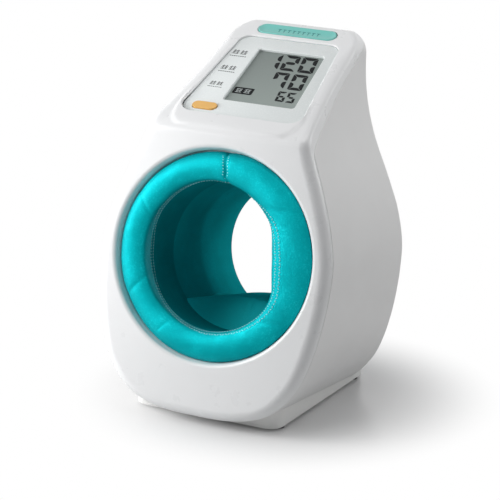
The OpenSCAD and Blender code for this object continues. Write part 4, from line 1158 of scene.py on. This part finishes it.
def knitFabric(name, band=None, satin=0.4, gloss=0.12, lift=0.0):
    # satin knit: columns of V-shaped stitches on the piece's own map, in steps of 100 mm
    tree, spot = newMaterial(name)
    light, deep = fabric["light"], fabric["deep"]
    uv = addNode(tree, "UVMap", uv_map="cloth").outputs[0]
    parts = addNode(tree, "SeparateXYZ", {0: uv}).outputs

    def times(a, b):
        return maths(tree, "MULTIPLY", a, b)
    column = times(parts[0], 100 / fabric["pitch"])
    row = times(parts[1], 100 / (fabric["pitch"] * 0.8))
    side = maths(tree, "ABSOLUTE", maths(tree, "SUBTRACT", maths(tree, "FRACT", column), 0.5))
    vee = maths(tree, "ADD", row, times(side, 1.1))
    wave = maths(tree, "MULTIPLY_ADD", maths(tree, "COSINE", times(vee, 2 * pi)), 0.5, 0.5)
    arch = maths(tree, "SINE", times(times(side, 2.0), pi))
    stitch = times(wave, arch)
    patches = spread(tree, noise(tree, spot, 38.0, 3.0), 0.0, 1.0, 0.38, 0.66)
    speckle = noise(tree, spot, 620.0, 3.0, 0.7)
    glints = spread(tree, speckle, 0.0, 0.6, 0.5, 0.7)
    base = mixed(tree, patches, deep, fabric["teal"])
    base = mixed(tree, 0.25, base, mixed(tree, stitch, deep, light))
    # painted glints: light specks mixed into the colour, stronger where the patches are lighter
    base = mixed(tree, times(glints, patches), base, light)
    # painted light: lift mixes the colour towards the light teal, so the tunnel's lining and arm rest look
    # lit
    base = mixed(tree, lift, base, light)
    # the lining is darker in the cuff's bore and lighter in the rear band, by the rearBand attribute
    if band:
        zone = addNode(tree, "Attribute", attribute_name=band).outputs["Fac"]
        base = mixed(tree, zone, mixed(tree, 0.55, base, fabric["dark"]), mixed(tree, 0.3, base, light))
    coarse = bumped(tree, noise(tree, spot, 210.0, 2.0), 0.3, 0.4 * mm)
    normal = bumped(tree, stitch, 0.4, 0.2 * mm, bumped(tree, speckle, 0.6, 0.45 * mm, coarse))
    rough = spread(tree, noise(tree, spot, 90.0), 0.38, 0.5)
    finished(tree, Base_Color=base, Roughness=rough, Normal=normal, Metallic=satin,
             Specular_IOR_Level=gloss, Specular_Tint=fabric["gloss"])


def displayGlass(name):
    # reflective display with painted shade: darker towards its upper left, where the frame shades it
    tree, spot = newMaterial(name)
    parts = addNode(tree, "SeparateXYZ", {0: spot}).outputs
    along = maths(tree, "MULTIPLY_ADD", parts[0], -0.45, parts[1])
    shade = addNode(tree, "MapRange", {"Value": along, "From Min": -0.03, "From Max": 0.05}).outputs[0]
    # painted shade: the base colour darkens towards the upper left
    base = mixed(tree, shade, rgb(0.30, 0.345, 0.325), rgb(0.20, 0.232, 0.22))
    grain = noise(tree, spot, 2600.0, 2.0)
    base = mixed(tree, spread(tree, grain, 0.0, 0.18), base, rgb(0.36, 0.4, 0.385))
    finished(tree, Base_Color=base, Roughness=spread(tree, grain, 0.27, 0.36), Coat_Roughness=0.1,
             Normal=bumped(tree, grain, 0.08, 0.01 * mm), Specular_IOR_Level=0.22, Coat_Weight=0.08)


def brushedMetal(name, colour, rough, along=2):
    # metal with fine lines along one axis
    tree, spot = newMaterial(name)
    scale = tuple(25.0 if axis == along else 900.0 for axis in range(3))
    lines = noise(tree, addNode(tree, "Mapping", {"Vector": spot, "Scale": scale}).outputs[0], 1.0, 3.0)
    base = mixed(tree, spread(tree, lines, 0.0, 1.0), rgb(*(c * 0.86 for c in colour)), rgb(*colour))
    finished(tree, Base_Color=base, Metallic=1.0, Normal=bumped(tree, lines, 0.2, 0.01 * mm),
             Roughness=spread(tree, lines, rough * 0.8, rough * 1.25))


def circuitBoard(name):
    # green board with paler tracks
    tree, spot = newMaterial(name)
    pattern = {"Vector": spot, "Scale": 130.0, "Mortar Size": 0.06, "Color1": rgb(0.02, 0.16, 0.06),
               "Color2": rgb(0.03, 0.2, 0.08), "Mortar": rgb(0.08, 0.34, 0.16)}
    tracks = addNode(tree, "TexBrick", pattern).outputs
    finished(tree, Base_Color=tracks["Color"], Roughness=0.35,
             Normal=bumped(tree, tracks["Fac"], 0.4, 0.03 * mm))


def cellJacket(name):
    # printed sleeve of a battery cell: one end in a second colour
    tree, spot = newMaterial(name)
    across = addNode(tree, "SeparateXYZ", {0: spot}).outputs[0]
    cell = maths(tree, "FRACT", maths(tree, "MULTIPLY", across, 1000 / 50.2))
    base = mixed(tree, maths(tree, "GREATER_THAN", cell, 0.72), rgb(0.03, 0.035, 0.04), rgb(0.55, 0.33, 0.07))
    fine = noise(tree, spot, 800.0)
    finished(tree, Base_Color=base, Metallic=0.3, Roughness=spread(tree, fine, 0.26, 0.36),
             Normal=bumped(tree, fine, 0.1, 0.01 * mm))


mouldedPlastic("frontPlastic", (0.86, 0.865, 0.87), 0.30, shade=0.985, coat=0.12)
mouldedPlastic("rearPlastic", (0.80, 0.80, 0.795), 0.42, grain=0.03, shade=0.98)
mouldedPlastic("footPlastic", (0.86, 0.86, 0.845), 0.5, grain=0.04, grainScale=1100.0, shade=0.98)
mouldedPlastic("panelPlate", (0.80, 0.84, 0.835), 0.38, grain=0.02, grainScale=900.0, shade=0.97, flecks=0.35)
displayGlass("displayGlass")
mouldedPlastic("mintPlastic", (0.18, 0.585, 0.53), 0.32, shade=0.94, coat=0.15)
mouldedPlastic("orangePlastic", (0.87, 0.49, 0.13), 0.34, shade=0.93, coat=0.12)
knitFabric("tealKnit")
# the lining and the arm rest get painted light through lift; the arm rest's colour is all light teal
knitFabric("liningKnit", "rearBand", 0.0, 0.0, 0.1)
knitFabric("restKnit", satin=0.0, gloss=0.0, lift=1.0)
mouldedPlastic("threadFibre", (0.42, 0.86, 0.9), 0.5, grain=0.06, grainScale=2600.0, shade=0.8)
mouldedPlastic("segmentInk", (0.004, 0.005, 0.006), 0.5, grainScale=3000.0, specular=0.12)
mouldedPlastic("labelInk", (0.07, 0.075, 0.08), 0.5, grainScale=3000.0)
mouldedPlastic("paleInk", (0.42, 0.46, 0.45), 0.4, grainScale=3000.0)
mouldedPlastic("deepMintInk", (0.02, 0.23, 0.22), 0.4, grainScale=3000.0)
mouldedPlastic("rubber", (0.035, 0.035, 0.036), 0.62, grain=0.05, grainScale=900.0)
mouldedPlastic("innerPlastic", (0.55, 0.55, 0.54), 0.5, grain=0.03)
mouldedPlastic("blackPlastic", (0.028, 0.028, 0.03), 0.45, grain=0.03)
mouldedPlastic("bladderFilm", (0.2, 0.22, 0.25), 0.38, grain=0.08, grainScale=260.0)
mouldedPlastic("hoseRubber", (0.5, 0.5, 0.48), 0.5, grain=0.03)
brushedMetal("springMetal", (0.75, 0.75, 0.74), 0.22)
brushedMetal("motorMetal", (0.6, 0.6, 0.6), 0.34, along=1)
brushedMetal("screwSteel", (0.56, 0.56, 0.57), 0.32)
circuitBoard("circuitBoard")
cellJacket("cellJacket")
threadPiece = stitchPiece("fabricThread", threadStitches(), looks["threadFibre"], thread["width"])
print("thread laid:", len(threadPiece.data.polygons), "faces")

# material, slot and body of each piece; most are fixed to the housing
dressing = [
    (frontPiece, "frontPlastic", "white_shell"), (rearPiece, "rearPlastic", "grey_shell"),
    (padPiece, "tealKnit", "teal_fabric"), (liningPiece, "liningKnit", "teal_fabric"),
    (restPiece, "restKnit", "teal_fabric"), (threadPiece, "threadFibre", "teal_fabric"),
    (segmentPiece, "segmentInk", "lcd_face"), (badgePiece, "paleInk", "lcd_face"),
    (labelPiece, "labelInk", "panel_grey"), (startPiece, "mintPlastic", "button_mint", "start_button"),
    (markPiece, "deepMintInk", "button_mint", "start_button"), (platePiece, "panelPlate", "panel_grey"),
    (softPieces["foot"], "footPlastic", "foot_shell"),
    (softPieces["memory_button"], "orangePlastic", "button_orange", "memory_button"),
    (softPieces["rear_ring"], "rearPlastic", "grey_shell"),
    (softPieces["battery_door"], "footPlastic", "foot_shell", "battery_door"),
    (softPieces["bottom_plate"], "footPlastic", "foot_shell"),
    (softPieces["rubber_feet"], "rubber", "rubber")]
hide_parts("front_cover")
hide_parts("rear_cover")
for piece, look, slot, *moving in dressing:
    owner = moving[0] if moving else "housing"
    piece.data.materials.clear()
    piece.data.materials.append(looks[look])
    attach(piece, owner)

# finish of the CAD nodes that show as they are
nodeLooks = {
    "displayGlass": ["lcd_glass"], "innerPlastic": ["lcd_holder", "tunnel_drum", "battery_tray"],
    "circuitBoard": ["display_board", "main_board"], "frontPlastic": ["ring_frame"],
    "blackPlastic": ["push_switches", "buzzer", "pressure_sensor", "pump_bracket", "adapter_socket"],
    "bladderFilm": ["air_bladder"], "motorMetal": ["air_pump", "exhaust_valve"], "hoseRubber": ["air_hoses"],
    "screwSteel": ["cover_screws", "bottom_screws"], "cellJacket": ["battery_cells"],
    "springMetal": ["battery_contacts"]}
for look, names in nodeLooks.items():
    for spot in (spot for name in names for spot in nodes[name].material_slots):
        spot.material = looks[look]
print("materials set:", len(looks))

# the photograph's view
view = {"azimuth": 24.5, "elevation": 14.4, "roll": 3.03, "focal": 2150.0, "distance": 1847.0,
        "target": (8.0, -28.757, 137.8)}


def addCamera():
    az, el, roll = (radians(view[k]) for k in ("azimuth", "elevation", "roll"))
    ahead = Vector((-sin(az) * cos(el), cos(az) * cos(el), -sin(el)))
    side = Vector((cos(az), sin(az), 0))
    up = side.cross(ahead)
    right = side * cos(roll) + up * sin(roll)
    top = up * cos(roll) - side * sin(roll)
    data = bpy.data.cameras.new("camera")
    camera = newObject("camera", data)
    data.sensor_width = 36
    data.lens = view["focal"] / 500 * data.sensor_width
    data.clip_end = 20
    turn = Matrix((right, top, -ahead)).transposed().to_4x4()
    camera.matrix_world = Matrix.Translation((Vector(view["target"]) - ahead * view["distance"]) * mm) @ turn
    scene.camera = camera


addCamera()
scene.view_settings.view_transform = "Standard"


# floor, backdrop and lamps
studio = {"floor": 3.0, "start": 0.075, "clear": 0.19, "grey": 0.12, "middle": (-0.03, -0.02, 0)}


def seenDirectly(tree):
    # 1 for camera, mirror and see-through rays
    path = addNode(tree, "LightPath").outputs
    total = maths(tree, "ADD", path["Is Camera Ray"], path["Is Glossy Ray"])
    return maths(tree, "ADD", total, path["Is Transmission Ray"], clamp=True)


def addWorld():
    world = bpy.data.worlds.new("studio")
    scene.world = world
    tree = nodeTree(world)
    grey = addNode(tree, "Background", {"Color": rgb(0.93, 0.96, 1.0), "Strength": studio["grey"]})
    white = addNode(tree, "Background", {"Color": rgb(1), "Strength": 1.0})
    both = addNode(tree, "MixShader", {0: seenDirectly(tree), 1: grey.outputs[0], 2: white.outputs[0]})
    addNode(tree, "OutputWorld", {"Surface": both.outputs[0]})


def addFloor():
    # white table that fades into the background away from the object
    size = studio["floor"]
    mesh = bpy.data.meshes.new("tableTop")
    corners = [(-size, -size, 0), (size, -size, 0), (size, size, 0), (-size, size, 0)]
    mesh.from_pydata(corners, [], [(0, 1, 2, 3)])
    floor = newObject("tableTop", mesh)
    tree, spot = newMaterial("tableTop")
    placed = {"Vector": spot, "Location": studio["middle"], "Scale": (1.0, 0.85, 1.0)}
    away = vectorLength(tree, addNode(tree, "Mapping", placed).outputs[0])
    ends = {"Value": away, "From Min": studio["start"], "From Max": studio["clear"]}
    fade = addNode(tree, "MapRange", ends, interpolation_type="SMOOTHSTEP").outputs[0]
    near = addNode(tree, "BsdfPrincipled", {"Base Color": rgb(0.71), "Roughness": 0.28})
    white = addNode(tree, "Emission", {"Color": rgb(1), "Strength": 1.0})
    seen = maths(tree, "MULTIPLY", fade, seenDirectly(tree))
    both = addNode(tree, "MixShader", {0: seen, 1: near.outputs[0], 2: white.outputs[0]})
    addNode(tree, "OutputMaterial", {"Surface": both.outputs[0]})
    mesh.materials.append(looks["tableTop"])


# lamps: place, height that they look at, side and watts
lamps = {"key": ((-0.46, -0.40, 0.38), 0.17, 0.34, 2.95), "side": ((-0.75, -0.29, 0.25), 0.14, 0.3, 2.4),
         "top": ((0.2, -0.05, 0.95), 0.15, 0.5, 2.05), "fill": ((0.8, 0.45, 0.7), 0.16, 0.5, 2.4)}


def addLamp(name, where, aim, size, watts):
    data = bpy.data.lights.new(name, "AREA")
    data.shape = "RECTANGLE"
    data.size = data.size_y = size
    data.energy = watts
    lamp = newObject(name, data)
    lamp.location = where
    lamp.rotation_euler = (Vector((0, 0, aim)) - Vector(where)).to_track_quat("-Z", "Y").to_euler()


addWorld()
addFloor()
for name, settings in lamps.items():
    addLamp(name, *settings)
